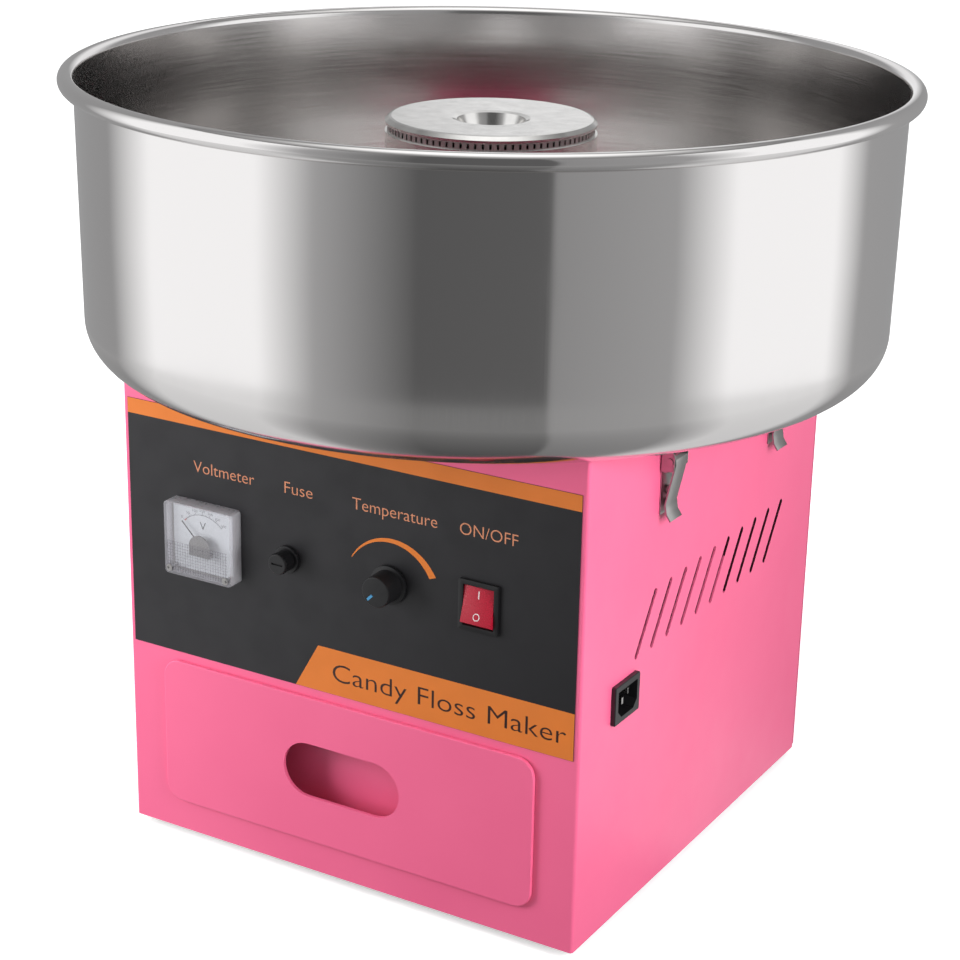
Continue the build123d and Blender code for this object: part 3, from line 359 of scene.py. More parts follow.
# %% lamps and background
def soft_lamp(name, place, target, width, height, power):
    """A soft rectangular lamp that looks at a target and isn't mirrored in the steel."""
    data = bpy.data.lights.new(name, "AREA")
    data.shape = "RECTANGLE"
    data.size = width
    data.size_y = height
    data.energy = power
    lamp = bpy.data.objects.new(name, data)
    bpy.context.scene.collection.objects.link(lamp)
    lamp.location = place
    lamp.rotation_euler = (Vector(target) - Vector(place)).to_track_quat("-Z", "Y").to_euler()
    lamp.visible_glossy = False
    lamp.visible_camera = False
    return lamp


soft_lamp("left_lamp", (-0.80, -0.68, 0.38), (-0.15, -0.15, 0.18), 0.5, 0.6, 10.5)
soft_lamp("right_lamp", (0.88, -0.27, 0.42), (0.15, -0.1, 0.18), 0.4, 0.6, 7.5)
soft_lamp("top_lamp", (0, 0, 1.9), (0, 0, 0.3), 1.4, 1.4, 15)

BACKDROP_LIGHT = 1.0
ROOM_LIGHT = 0.32
world = bpy.data.worlds.new("studio")
bpy.context.scene.world = world
finish = Finish("studio", world)
seen = finish.node("ShaderNodeLightPath", output="Is Camera Ray")
strength = seen * (BACKDROP_LIGHT - ROOM_LIGHT) + ROOM_LIGHT
light = finish.node("ShaderNodeBackground", {}, {"Color": (1, 1, 1, 1), "Strength": strength})
finish.node("ShaderNodeOutputWorld", {}, {"Surface": light})
bpy.context.scene.view_settings.view_transform = "Standard"
print("three lamps")

# %% [markdown]
# ## Painted sheet
#
# The case is folded sheet with a pink powder coat. Powder melts into a skin with a very fine orange
# peel, a little uneven in gloss. Inside the case the colour is a near-black painted shade, and that
# is what makes the vents read as dark slots. The inside is found by place, within the sheet, or by
# direction, where it faces the middle of the machine. The drawer is pink on both sides.

# %% pink powder coat
PEEL_SIZE = 1.4 * MM
# Painted shade: the near-black colour given to the inside of the case, so the vents look dark.
PAINTED_INSIDE_SHADE = (0.045, 0.008, 0.014)
SHEET_SIDE = 159.4 * MM
SHEET_FRONT = 160.9 * MM
SHEET_TOP = 300 * MM


def pink_paint(name, closed):
    """The powder coat. A closed case gets a near-black painted shade inside; an open drawer is pink on both
    sides.
    """
    finish = Finish(name)
    cloud = finish.spread(finish.noise(0.09), 0, 1)
    coat = finish.mix(cloud, (0.88, 0.135, 0.285), (0.92, 0.150, 0.305))
    if closed:
        x, y, z = finish.parts(finish.here())
        within = (x * x < SHEET_SIDE ** 2) * (y * y < SHEET_FRONT ** 2) * (z < SHEET_TOP)
        turned_in = finish.dot(finish.level(), finish.facing()) < -0.02
        inside = within.maths("MAXIMUM", turned_in, within)
        # Painted shade: inside the case the pink is replaced by the near-black colour.
        coat = finish.mix(inside, coat, PAINTED_INSIDE_SHADE)
    peel = finish.noise(PEEL_SIZE, detail=2)
    gloss = finish.noise(0.02) * 0.7 + peel * 0.3
    return finish.surface(
        Base_Color=coat, Roughness=finish.spread(gloss, 0.34, 0.44),
        Normal=finish.bump(peel, 0.00002), Coat_Weight=0.15, Coat_Roughness=0.3,
    )


print("pink powder coat with", round(PEEL_SIZE / MM, 1), "mm peel")

# %% [markdown]
# ## Bright metal
#
# The bowl is spun and then polished. Outside, polishing leaves faint upright streaks. Inside, the tool
# leaves rings that run round the bowl and blur reflections up and down. One finish serves both sides,
# because the outer side faces away from the shaft and the inner side faces it. The small fittings are
# pressed and plated, with a short grain.

# %% bowl and fittings
RINGS_PER_METRE = 1600
RING_DRIFT = 4                   # how much the rings change round the bowl
STREAKS_PER_RADIAN = 420
STREAKS_PER_METRE = 14


def bowl_steel():
    """Polished outside, with rings left by the tool inside."""
    finish = Finish("polished_steel")
    here = finish.here()
    x, y, z = finish.parts(here)
    reach = (x * x + y * y) ** 0.5
    turn = finish.turn(y, x)
    inside = finish.dot(here, finish.facing()) < 0.02
    spun = finish.node("ShaderNodeCombineXYZ", {}, {
        0: reach * RINGS_PER_METRE, 1: z * RINGS_PER_METRE, 2: turn * RING_DRIFT,
    })
    rings = finish.noise(1.0, where=spun, detail=2.0)
    rolled = finish.node("ShaderNodeCombineXYZ", {}, {
        0: turn * STREAKS_PER_RADIAN, 1: z * STREAKS_PER_METRE, 2: 0,
    })
    streaks = finish.noise(1.0, where=rolled, detail=2.0)
    touch = finish.spread(finish.noise(0.05), 0.0, 0.02, 0.5, 0.75)
    rough = inside * finish.spread(rings, 0.11, 0.20) + (1 - inside) * finish.spread(streaks, 0.06, 0.10)
    height = inside * rings + (1 - inside) * streaks * 0.1
    return finish.surface(
        Base_Color=(0.80, 0.785, 0.775), Metallic=1.0, Roughness=rough + touch,
        Normal=finish.bump(height, 0.0000025),
    )


def steel(name, tone, low, high, grain=(1, 1, 1), size=0.0012):
    """Bare or plated metal whose grain runs along the axis with the small scale."""
    finish = Finish(name)
    fine = finish.noise(size, grain, detail=2)
    cloud = finish.noise(0.012)
    dull = [shade * 0.86 for shade in tone]
    return finish.surface(
        Base_Color=finish.mix(finish.spread(cloud, 0, 1), tone, dull), Metallic=1.0,
        Roughness=finish.spread(fine * 0.6 + cloud * 0.4, low, high), Normal=finish.bump(fine, 0.000004),
    )


print("steel finishes ready")

# %% [markdown]
# ## Plastics, inks and the rest
#
# Moulded plastic is never quite even: the mould's texture scatters the light a little and the gloss
# drifts across a face. `plain` gives every such material that texture, with its size and depth set by
# what the piece is made of. The clear cover of the meter lets most light through where it is seen
# square on, and looks milky along its edges, where there is more plastic to look through.

# %% moulded and printed materials
def plain(name, tone, rough, size=0.0008, depth=0.000006, uneven=0.12, coat=0.0):
    """A solid-coloured material with a fine texture and a slow drift of tone and gloss."""
    finish = Finish(name)
    fine = finish.noise(size, detail=2)
    cloud = finish.spread(finish.noise(0.02), 0, 1)
    dull = [shade * (1 - uneven) for shade in tone]
    return finish.surface(
        Base_Color=finish.mix(cloud, tone, dull),
        Roughness=finish.spread(fine * 0.5 + cloud * 0.5, rough * 0.85, rough * 1.15),
        Normal=finish.bump(fine, depth), Coat_Weight=coat, Coat_Roughness=0.1,
    )


def clear_cover(name, tone, edge):
    """Clear plastic: `edge` is how much its side walls hide."""
    finish = Finish(name)
    _, front, _ = finish.parts(finish.facing())
    square_on = front * front    # 1 on the front of the cover, 0 on its side walls
    haze = finish.spread(finish.noise(0.003), 0, 1)
    return finish.surface(
        Base_Color=tone, Roughness=finish.spread(haze, 0.05, 0.12, 0, 1),
        Alpha=edge - square_on * (edge * 0.72) + haze * 0.03, Coat_Weight=0.3,
    )


def red_rocker():
    """Clear red plastic that glows a little from the lamp behind it."""
    finish = Finish("red_rocker")
    fine = finish.noise(0.0015, detail=2)
    return finish.surface(
        Base_Color=finish.mix(fine, (0.42, 0.012, 0.035), (0.34, 0.008, 0.025)),
        Roughness=finish.spread(fine, 0.20, 0.30), Normal=finish.bump(fine, 0.00001),
        Emission_Color=(0.5, 0.01, 0.03), Emission_Strength=0.08,
    )


finishes = {
    "pink_paint": pink_paint("pink_paint", True),
    "polished_steel": bowl_steel(),
    "plated_steel": steel("plated_steel", (0.46, 0.45, 0.44), 0.26, 0.38, (1, 1, 0.2)),
    "decal": plain("decal", (0.016, 0.0155, 0.0175), 0.42, 0.0006, 0.000003),
    "clear_cover": clear_cover("clear_cover", (0.80, 0.79, 0.84), 0.36),
    "white_dial": plain("white_dial", (0.60, 0.62, 0.66), 0.5, uneven=0.04),
    "black_plastic": plain("black_plastic", (0.010, 0.010, 0.011), 0.36, 0.0005, 0.00001),
    "grey_plastic": plain("grey_plastic", (0.16, 0.155, 0.15), 0.4),
    "needle_black": plain("needle_black", (0.02, 0.02, 0.02), 0.5),
    "blue_mark": plain("blue_mark", (0.08, 0.33, 0.60), 0.5),
    "red_rocker": red_rocker(),
    "pin_metal": steel("pin_metal", (0.75, 0.74, 0.72), 0.2, 0.3),
    "fuse_glass": plain("fuse_glass", (0.62, 0.64, 0.64), 0.12),
    "zinc": steel("zinc", (0.55, 0.55, 0.54), 0.35, 0.5, size=0.004),
    "shaft_steel": steel("shaft_steel", (0.62, 0.61, 0.60), 0.2, 0.3, (1, 1, 8)),
    "cast_aluminium": steel("cast_aluminium", (0.80, 0.79, 0.77), 0.13, 0.22),
    "mesh_steel": steel("mesh_steel", (0.60, 0.59, 0.58), 0.28, 0.4),
    "heater": steel("heater", (0.30, 0.25, 0.22), 0.4, 0.6),
    "ceramic": plain("ceramic", (0.80, 0.77, 0.70), 0.55, 0.001, 0.00003),
    "brass": steel("brass", (0.78, 0.57, 0.28), 0.22, 0.34, (1, 1, 8)),
    "carbon": plain("carbon", (0.02, 0.02, 0.02), 0.6),
    "fan_plastic": plain("fan_plastic", (0.04, 0.04, 0.045), 0.5),
    "black_rubber": plain("black_rubber", (0.015, 0.015, 0.015), 0.75, 0.001, 0.00003),
    "board_green": plain("board_green", (0.02, 0.16, 0.07), 0.35, coat=0.5),
}
print(len(finishes), "finishes")

# %% inks, and every CAD piece gets its finish
inks = {
    "orange": plain("orange_ink", (0.74, 0.20, 0.030), 0.42, 0.0006, 0.000003, 0.06),
    "peach": plain("peach_ink", (0.66, 0.26, 0.14), 0.45, 0.0006, 0.000003, 0.06),
    "brown": plain("brown_ink", (0.030, 0.012, 0.010), 0.45),
    # The black ink prints the dial, and also stands as painted shade in the screws' cross recesses.
    "black": plain("black_ink_and_painted_shade", (0.02, 0.02, 0.025), 0.5),
    "red": plain("red_ink", (0.45, 0.06, 0.05), 0.5),
    "white": plain("white_ink", (0.85, 0.80, 0.80), 0.5),
}
for node in frame["nodes"].values():
    for slot in node.material_slots:
        slot.material = finishes[slot.material.name.split(".")[0]]
drawer_paint = pink_paint("pink_drawer", False)
for name in ("drawer_front", "drawer_tray"):
    frame["nodes"][name].material_slots[0].material = drawer_paint
print(len(inks), "inks and", len(frame["nodes"]), "pieces with a finish")

# %% [markdown]
# ## Helpers for modelled pieces
#
# Spun, turned and printed shapes all start from an outline. `drawn_line` extrudes one vertex from
# point to point. `closed_up` merges what meets and turns the faces outwards, so that light falls on the
# right side of them. `placed` says which body a piece rides and which finish it takes.

# %% drawing helpers
SAME_POINT = 0.000001


def deselect():
    bpy.ops.object.select_all(action="DESELECT")


def select_whole():
    bpy.ops.mesh.select_all(action="SELECT")


def new_vertex(place):
    """Add one vertex, selected alone, by closing up a small plane."""
    bpy.ops.mesh.primitive_plane_add(size=MM, location=(0, 0, 0))
    if bpy.context.object.mode == "OBJECT":
        bpy.ops.object.mode_set(mode="EDIT")
        select_whole()
    bpy.ops.mesh.merge(type="CENTER")
    bpy.ops.transform.translate(value=place)


def drawn_line(name, *runs):
    """Lines through runs of points, drawn by extruding vertices. Edit mode is left on, all selected."""
    deselect()
    for run in runs:
        new_vertex(run[0])
        for start, end in zip(run, run[1:]):
            step = Vector(end) - Vector(start)
            bpy.ops.mesh.extrude_region_move(TRANSFORM_OT_translate={"value": step})
    select_whole()
    piece = bpy.context.object
    piece.name = name
    piece.data.name = name
    return piece


def extruded(step):
    """Draw the whole mesh out by a step, which makes a solid of a face."""
    select_whole()
    bpy.ops.mesh.extrude_region_move(TRANSFORM_OT_translate={"value": step})


def turned_out():
    """Turn the faces outwards and leave edit mode."""
    select_whole()
    bpy.ops.mesh.normals_make_consistent(inside=False)
    bpy.ops.object.mode_set(mode="OBJECT")


def closed_up(threshold=SAME_POINT):
    """Merge what meets, then turn the faces outwards."""
    select_whole()
    bpy.ops.mesh.remove_doubles(threshold=threshold)
    turned_out()


def apply(piece, kind, **settings):
    """Add a modifier with its settings and apply it."""
    bpy.context.view_layer.objects.active = piece
    modifier = piece.modifiers.new(kind.lower(), kind)
    for name, value in settings.items():
        setattr(modifier, name, value)
    bpy.ops.object.modifier_apply(modifier=modifier.name)


def placed(piece, body, slot, material=None):
    """Say which body a piece rides and which finish it takes."""
    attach(piece, body)
    piece.data.materials.clear()
    piece.data.materials.append(material or finishes[slot])
    return piece


def middle_of(node):
    low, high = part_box(node)
    return (low + high) / 2


print("drawing helpers ready")

# %% [markdown]
# ## The bowl
#
# On the real machine the bowl is one disc of stainless sheet, pressed over a turning wooden form: a
# flat floor, a tight curve, then an almost upright wall, and a rim rolled outwards into a bead that
# stiffens it and covers the raw edge. It is drawn here the same way: half a cross-section, turned round
# the shaft. The section is the middle of the sheet, which gets its thickness afterwards, so both faces
# stay parallel. Many fine steps keep the long reflections smooth.

# %% bowl section
BOWL_SHEET = 0.8 * MM
CORNER_RADIUS = 25 * MM
BEAD_RADIUS = 4.6 * MM
BEAD_INSET = 5 * MM
WALL_LEAN = 1.4 * MM
WALL_SWELL = 12 * MM             # height of the wall's fullest point above its middle
COLLAR_RADIUS = 76.4 * MM
COLLAR_HEIGHT = 12 * MM
COLLAR_CURVE = 2 * MM
FLOOR_RINGS = (60 * MM, 110 * MM)
SPIN_STEPS = 240

bowl_low, bowl_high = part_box("bowl")
bowl_reach = bowl_high.x
floor_z = bowl_low.z + BOWL_SHEET / 2
bead_middle = Vector((bowl_reach - BEAD_INSET, 0, bowl_high.z - BEAD_INSET))
wall_foot = bead_middle.x - BEAD_RADIUS - WALL_LEAN


def arc(middle, radius, start, end, steps):
    """Points of an arc in the upright plane through the shaft, in degrees."""
    turns = [radians(start + (end - start) * step / steps) for step in range(steps + 1)]
    return [(middle[0] + radius * cos(turn), 0, middle[2] + radius * sin(turn)) for turn in turns]


curve_middle = (COLLAR_RADIUS + COLLAR_CURVE, 0, floor_z + COLLAR_CURVE)
section = [(COLLAR_RADIUS, 0, floor_z + COLLAR_HEIGHT), (COLLAR_RADIUS, 0, floor_z + COLLAR_CURVE)]
section += arc(curve_middle, COLLAR_CURVE, 202, 270, 3)
section += [(COLLAR_RADIUS + reach, 0, floor_z) for reach in FLOOR_RINGS]
section += arc((wall_foot - CORNER_RADIUS, 0, floor_z + CORNER_RADIUS), CORNER_RADIUS, -90, 0, 14)
section += [(wall_foot + WALL_LEAN / 2, 0, (floor_z + bead_middle.z) / 2 + WALL_SWELL)]
section += arc(bead_middle, BEAD_RADIUS, 180, -130, 20)
print(len(section), "points in the section")

# %% spin the bowl
spun_bowl = drawn_line("spun_bowl", section)
bpy.ops.mesh.spin(steps=SPIN_STEPS, angle=2 * pi, center=(0, 0, 0), axis=(0, 0, 1))
closed_up(10 * SAME_POINT)
apply(spun_bowl, "SOLIDIFY", thickness=BOWL_SHEET, offset=0)
bpy.ops.object.shade_smooth_by_angle(angle=radians(50))
placed(spun_bowl, "bowl", "polished_steel")
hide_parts("bowl")
print("bowl", round(2 * bowl_reach / MM), "mm across,", len(spun_bowl.data.polygons), "faces")

# %% [markdown]
# ## Softened edges
#
# Pressed sheet and moulded plastic never have a knife edge. The small roundings catch thin bright
# lines, and those lines are what make a piece look real. The CAD pieces that show are copied, merged
# and given a bevel a fraction of a millimetre wide.

# %% soften the pieces that show
SOFT_WIDTHS = {
    "latch_lever_front_right": 0.22, "latch_lever_rear_right": 0.22,
    "latch_lever_front_left": 0.22, "latch_lever_rear_left": 0.22,
    "latch_bases": 0.18, "bowl_catches": 0.25, "temperature_knob": 0.35, "fuse_holder": 0.25,
    "switch_housing": 0.35, "switch_rocker": 0.3, "meter_base": 0.4, "head_nut": 0.5,
}
SHARP_ANGLE = radians(32)
SMOOTH_ANGLE = radians(30)


def softened(node, width):
    """A copy of a CAD node with rounded edges, which stands for it."""
    source = frame["nodes"][node]
    piece = source.copy()
    piece.data = source.data.copy()
    piece.name = node + "_soft"
    piece.data.name = node + "_soft"
    for key in list(piece.keys()):
        del piece[key]
    piece.parent = None
    bpy.context.scene.collection.objects.link(piece)
    deselect()
    piece.select_set(True)
    bpy.context.view_layer.objects.active = piece
    bpy.ops.object.mode_set(mode="EDIT")
    closed_up()
    apply(piece, "BEVEL", width=width, segments=2, limit_method="ANGLE", angle_limit=SHARP_ANGLE)
    bpy.ops.object.shade_smooth_by_angle(angle=SMOOTH_ANGLE)
    slot = source.material_slots[0].material.name.split(".")[0]
    placed(piece, source["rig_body"], slot)
    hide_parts(node)
    return piece


softened_pieces = [softened(node, width * MM) for node, width in SOFT_WIDTHS.items()]
print(len(softened_pieces), "pieces softened")

# %% [markdown]
# ## The printed panel
#
# The plate behind the controls is printed: a matt black ground, an orange stripe along the top, a
# slanted orange patch at the bottom for the title, and a band that swells as it sweeps over the
# temperature knob. Each ink is a film standing a few hundredths of a millimetre proud of the plate,
# with its own slight gloss. `film` fills a closed outline and gives it that thickness.

# %% panel inks
INK = 0.03 * MM
PRINT_MARGIN = 0.1 * MM
STRIPE_LOW = 281.6 * MM
PATCH_TOP = 160.0 * MM
PATCH_LEFT = -34.0 * MM
PATCH_LEAN = 16.5 * MM
decal_low, decal_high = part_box("control_decal")
PANEL_Y = decal_low.y


def film(name, outline, ink, slot="decal", front=PANEL_Y):
    """A filled outline (x, z) standing proud of an upright face that looks forwards."""
    piece = drawn_line(name, [(x, front - INK, z) for x, z in [*outline, outline[0]]])
    bpy.ops.mesh.remove_doubles(threshold=SAME_POINT)
    select_whole()
    bpy.ops.mesh.edge_face_add()
    extruded((0, INK, 0))
    closed_up()
    return placed(piece, "case", slot, inks[ink])


edge = decal_high.x - PRINT_MARGIN
top = decal_high.z - PRINT_MARGIN
bottom = decal_low.z + PRINT_MARGIN
film("top_stripe", [(-edge, STRIPE_LOW), (edge, STRIPE_LOW), (edge, top), (-edge, top)], "orange")
patch = [(PATCH_LEFT, bottom), (edge, bottom), (edge, PATCH_TOP), (PATCH_LEFT + PATCH_LEAN, PATCH_TOP)]
film("title_patch", patch, "orange")
print("stripe and patch", round(2 * edge / MM), "mm wide")

# %% band over the knob
BAND_START = 156.4
BAND_END = 19.2
BAND_STEPS = 32
knob_middle = middle_of("temperature_knob")


def band_edge(share, side):
    """A point on the inner (-1) or outer (+1) edge of the swelling band."""
    turn = radians(BAND_START + (BAND_END - BAND_START) * share)
    radius = (28.9 - 8.67 * share + 10.67 * share ** 2 + side * (0.3 + 2.0 * share)) * MM
    return knob_middle.x + radius * cos(turn), knob_middle.z + radius * sin(turn)


shares = [step / BAND_STEPS for step in range(BAND_STEPS + 1)]
band = [band_edge(share, 1) for share in shares] + [band_edge(share, -1) for share in reversed(shares)]
film("knob_band", band, "orange")
print("band over the knob", round((band[BAND_STEPS][0] - band[0][0]) / MM), "mm wide")

# %% [markdown]
# ## Words
#
# The words are plain descriptions of the controls. Each line is written with the text tool, made into a
# mesh, and fitted to its width and the height of its capitals before its place is applied.

# %% words
THINNING = -0.008                # letters are drawn this much leaner, as a share of their size


def words(name, text, left, right, base, height, ink, front=PANEL_Y, slot="decal"):
    """Text made into a thin film, fitted between left and right with its foot at base."""
    deselect()
    bpy.ops.object.text_add(location=(0, 0, 0))
    writing = bpy.context.object.data
    writing.body = text
    writing.extrude = INK / 2 / height * 0.72
    writing.resolution_u = 4
    writing.offset = THINNING
    bpy.ops.object.convert(target="MESH")
    piece = bpy.context.object
    piece.name = name
    piece.data.name = name
    across = [corner[0] for corner in piece.bound_box]
    stretch = (right - left) / (max(across) - min(across))
    grow = height / max(corner[1] for corner in piece.bound_box)
    piece.scale = (stretch, grow, grow)
    piece.rotation_euler = (pi / 2, 0, 0)
    piece.location = (left - min(across) * stretch, front - INK / 2, base)
    bpy.ops.object.transform_apply(location=True, rotation=True, scale=True)
    bpy.ops.object.mode_set(mode="EDIT")
    closed_up()
    return placed(piece, "case", slot, inks[ink])


LABEL_BASE = 252.6 * MM
LABEL_CAP = 7.2 * MM
LABELS = (
    ("label_meter", "Voltmeter", -108, -63), ("label_fuse", "Fuse", -41, -21),
    ("label_knob", "Temperature", 7, 65), ("label_switch", "ON/OFF", 80, 118),
)
for name, text, left, right in LABELS:
    words(name, text, left * MM, right * MM, LABEL_BASE, LABEL_CAP, "peach")
words("title", "Candy Floss Maker", -7 * MM, 152.5 * MM, 139.5 * MM, 11.5 * MM, "brown", PANEL_Y - INK)
print(len(LABELS) + 1, "lines of words")

# %% [markdown]
# ## The meter
#
# A moving-iron voltmeter has a white card with an arc of numbers, a needle that swings over it, and a
# clear snap-on cover. The lower half of the cover is ribbed to hide the movement behind it. The
# numbers run evenly round the needle's pivot, so they are placed by angle.

# %% dial markings
DIAL_FROM = 135.0
DIAL_TO = 45.0
DIAL_RADIUS = 19.5 * MM
DIAL_TOP = 300
TICKS = 30
TICKS_PER_NUMBER = 5
LINE = 0.12 * MM                 # half the width of the dial's arc
LONG_TICK = (1.6 * MM, 0.35)     # length, and half the width in degrees
SHORT_TICK = (0.9 * MM, 0.22)
NUMBER_RADIUS = 22.2 * MM
NUMBER_HEIGHT = 1.6 * MM
DIGIT_HALF = 0.62 * MM
DIAL_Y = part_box("meter_dial")[0].y


def pivot_of(name):
    """Where a joint of the frame has its pivot."""
    return Vector(next(joint["pos_m"] for joint in frame["joints"] if joint["name"] == name))


pivot = pivot_of("needle_swing")


def dial_turn(share):
    """The angle of a share of the scale."""
    return DIAL_FROM + (DIAL_TO - DIAL_FROM) * share


def on_dial(turn, radius):
    """A point (x, z) at an angle and a distance round the needle's pivot."""
    return pivot.x + radius * cos(radians(turn)), pivot.z + radius * sin(radians(turn))


def sweep(start, end, inner, outer, steps):
    """The outline of a band round the needle's pivot."""
    turns = [start + (end - start) * step / steps for step in range(steps + 1)]
    return [on_dial(turn, outer) for turn in turns] + [on_dial(turn, inner) for turn in reversed(turns)]


def dial_film(name, outline, ink, lift=0.0):
    return film(name, outline, ink, "white_dial", DIAL_Y - lift)


def dial_words(name, text, half, base, height, x):
    return words(name, text, x - half, x + half, base, height, "black", DIAL_Y, "white_dial")


dial_film("dial_arc", sweep(DIAL_FROM, DIAL_TO, DIAL_RADIUS - LINE, DIAL_RADIUS + LINE, 24), "black")
red_outline = sweep(DIAL_FROM, DIAL_FROM - 6, DIAL_RADIUS - 0.5 * MM, DIAL_RADIUS + 0.3 * MM, 4)
dial_film("dial_red", red_outline, "red", INK)
for tick in range(TICKS + 1):
    turn = dial_turn(tick / TICKS)
    length, wide = SHORT_TICK if tick % TICKS_PER_NUMBER else LONG_TICK
    outline = sweep(turn - wide, turn + wide, DIAL_RADIUS, DIAL_RADIUS + length, 1)
    dial_film(f"dial_tick_{tick:02d}", outline, "black")
for count in range(TICKS // TICKS_PER_NUMBER + 1):
    share = count * TICKS_PER_NUMBER / TICKS
    x, z = on_dial(dial_turn(share), NUMBER_RADIUS)
    text = str(round(DIAL_TOP * share))
    dial_words(f"dial_number_{count}", text, DIGIT_HALF * len(text), z - NUMBER_HEIGHT / 2, NUMBER_HEIGHT, x)
dial_words("dial_unit", "V", 2.2 * MM, pivot.z + 10 * MM, 5 * MM, pivot.x)
print("dial reads 0 to", DIAL_TOP)

# %% ribs on the lower half of the cover
RIB_WIDE = 0.35 * MM
RIB_PITCH = 1.9 * MM
RIB_INSET = 2.5 * MM
RIB_PROUD = 0.12 * MM
BAR_BEVEL = 0.08 * MM
cover_low, cover_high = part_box("meter_cover")
rib_top = (cover_low.z + cover_high.z) / 2 - 2 * MM


def bars(name, corners, slot, material):
    """Straight bars in one mesh, each a cube drawn out between two corners. None is merged with another."""
    deselect()
    for low, high in corners:
        low, high = Vector(low), Vector(high)
        bpy.ops.mesh.primitive_cube_add(size=1, location=(0, 0, 0))
        if bpy.context.object.mode == "OBJECT":
            bpy.ops.object.mode_set(mode="EDIT")
            select_whole()
        bpy.ops.transform.resize(value=high - low, center_override=(0, 0, 0))
        bpy.ops.transform.translate(value=(low + high) / 2)
    piece = bpy.context.object
    piece.name = name
    piece.data.name = name
    turned_out()
    apply(piece, "BEVEL", width=BAR_BEVEL, segments=1)
    return placed(piece, "case", slot, material)


def rib_places(low, high):
    """Evenly spaced places from low up to high, with high itself if it falls on a rib."""
    return [low + RIB_PITCH * count for count in range(1 + int((high - low + SAME_POINT) / RIB_PITCH))]


left = cover_low.x + RIB_INSET
right = cover_high.x - RIB_INSET
foot = cover_low.z + RIB_INSET
face = cover_low.y - RIB_PROUD
upright = [
    ((x, face, foot), (x + RIB_WIDE, face + 0.3 * MM, rib_top)) for x in rib_places(left, right)
]
level = [
    ((left, face + 0.05 * MM, z), (right, face + 0.3 * MM, z + RIB_WIDE)) for z in rib_places(foot, rib_top)
]
# Painted shade: the ribs take a darker copy of the cover's clear plastic, standing in for the dark lines the
# ribs make by bending the light.
rib_plastic_with_painted_shade = clear_cover("cover_ribs", (0.30, 0.29, 0.33), 0.55)
bars("cover_ribs", upright + level, "clear_cover", rib_plastic_with_painted_shade)
print(len(upright), "upright and", len(level), "level ribs")

# %% crosses on the cover's screws
CROSS_LONG = 0.95 * MM
CROSS_WIDE = 0.2 * MM
SCREW_RADIUS = 1.4 * MM
CROSS_THICK = 1.5 * INK
screw_low, screw_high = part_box("meter_screws")
screw_middle = (screw_low + screw_high) / 2


def cross_bar(x, across, up, lift):
    """The corners of one bar of a cross."""
    y = screw_low.y - lift
    z = screw_middle.z
    return (x - across, y, z - up), (x + across, y + CROSS_THICK, z + up)


for name, x in (
    ("screw_cross_left", screw_low.x + SCREW_RADIUS), ("screw_cross_right", screw_high.x - SCREW_RADIUS),
):
    # Painted shade: each cross is a pair of black bars proud of the screw head, standing for the dark inside
    # of its cross recess.
    cross = [cross_bar(x, CROSS_LONG, CROSS_WIDE, 2 * INK), cross_bar(x, CROSS_WIDE, CROSS_LONG, 3 * INK)]
    bars(name, cross, "plated_steel", inks["black"])
print("crosses on two screws")

# %% [markdown]
# ## Marks that move with their piece
#
# The rocker carries a white line and a ring, one on each face, so that its state can be read. They ride
# the rocker and tilt with it, so each mark is laid on its sloping face. The fuse cap has ribs round it
# for the fingers: one is drawn, and the rest are its copies turned round the cap.

# %% rocker marks
REST_TILT = radians(12)
VALLEY = 4.4 * MM                # from the pivot to the face at its middle
CREST = 5.6 * MM                 # and at its ends
REACH = 12.2 * MM
MARK_DEPTH = 0.05 * MM
MARK_THICK = 0.09 * MM
RING_MARK_Z = -6.5 * MM
rocker_pivot = pivot_of("rocker_tilt")
rocker_out = Vector((0, -cos(REST_TILT), sin(REST_TILT)))
rocker_up = Vector((0, sin(REST_TILT), cos(REST_TILT)))


def on_rocker(across, along):
    """A point just under the rocker's face, across and along it from its middle."""
    depth = VALLEY + (CREST - VALLEY) * abs(along) / REACH - MARK_DEPTH
    return rocker_pivot + Vector((across, 0, 0)) + rocker_out * depth + rocker_up * along


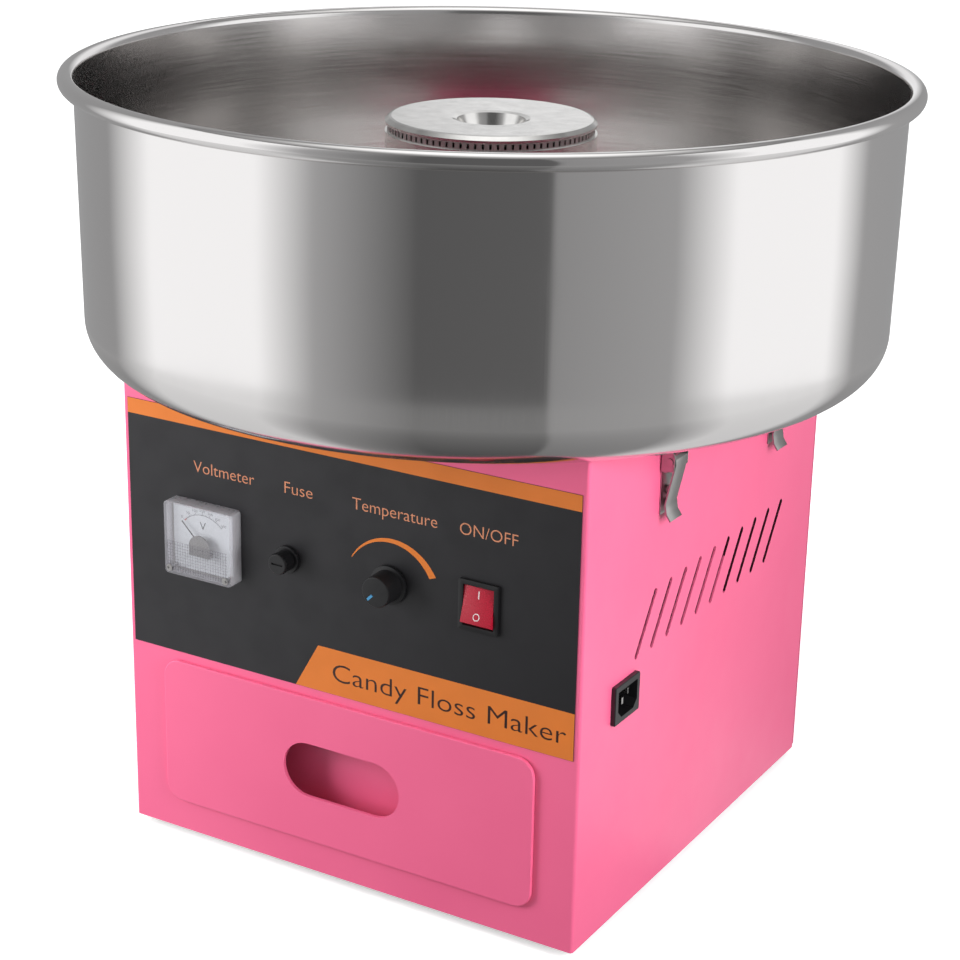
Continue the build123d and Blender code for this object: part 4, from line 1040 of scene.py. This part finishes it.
def rocker_mark(name, outer, inner):
    """A mark between two outlines on the rocker's face, given as (across, along)."""
    loops = [[on_rocker(*place) for place in [*outline, outline[0]]] for outline in (outer, inner)]
    piece = drawn_line(name, *loops)
    bpy.ops.mesh.remove_doubles(threshold=SAME_POINT)
    select_whole()
    bpy.ops.mesh.bridge_edge_loops()
    extruded(rocker_out * MARK_THICK)
    closed_up()
    return placed(piece, "rocker", "red_rocker", inks["white"])


def ring_outline(radius, steps=32):
    turns = [2 * pi * step / steps for step in range(steps)]
    return [(radius * sin(turn), RING_MARK_Z + radius * cos(turn)) for turn in turns]


def box_outline(wide, low, high):
    return [(-wide, low), (-wide, high), (wide, high), (wide, low)]


rocker_mark("rocker_off", ring_outline(2.2 * MM), ring_outline(1.7 * MM))
line_outer = box_outline(0.35 * MM, 4.2 * MM, 8.8 * MM)
rocker_mark("rocker_on", line_outer, box_outline(0.05 * MM, 4.4 * MM, 8.6 * MM))
print("two marks on the rocker")

# %% fuse cap ribs
CAP_RADIUS = 6.4 * MM
CAP_RIBS = 20
RIB_ROOT = (CAP_RADIUS - 0.2 * MM, 0.06)       # radius, and half the width in radians
RIB_CREST = (CAP_RADIUS + 0.25 * MM, 0.035)
RIB_START = 0.6 * MM
RIB_LENGTH = 2.8 * MM
cap_middle = middle_of("fuse_cap")
cap_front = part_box("fuse_cap")[0].y + RIB_START


def on_cap(radius, turn):
    return cap_middle.x + radius * cos(turn), cap_front, cap_middle.z + radius * sin(turn)


(root, root_half), (crest, crest_half) = RIB_ROOT, RIB_CREST
rib_outline = [
    on_cap(root, -root_half), on_cap(root, root_half), on_cap(crest, crest_half), on_cap(crest, -crest_half),
]
fuse_ribs = drawn_line("fuse_ribs", [*rib_outline, rib_outline[0]])
bpy.ops.mesh.remove_doubles(threshold=SAME_POINT)
select_whole()
bpy.ops.mesh.edge_face_add()
extruded((0, RIB_LENGTH, 0))
select_whole()
copies = CAP_RIBS - 1
turn_of_all = 2 * pi * copies / CAP_RIBS
bpy.ops.mesh.spin(steps=copies, dupli=True, angle=turn_of_all, center=cap_middle, axis=(0, 1, 0))
closed_up()
placed(fuse_ribs, "fuse", "black_plastic")
print(CAP_RIBS, "ribs round the fuse cap,", len(fuse_ribs.data.polygons), "faces")
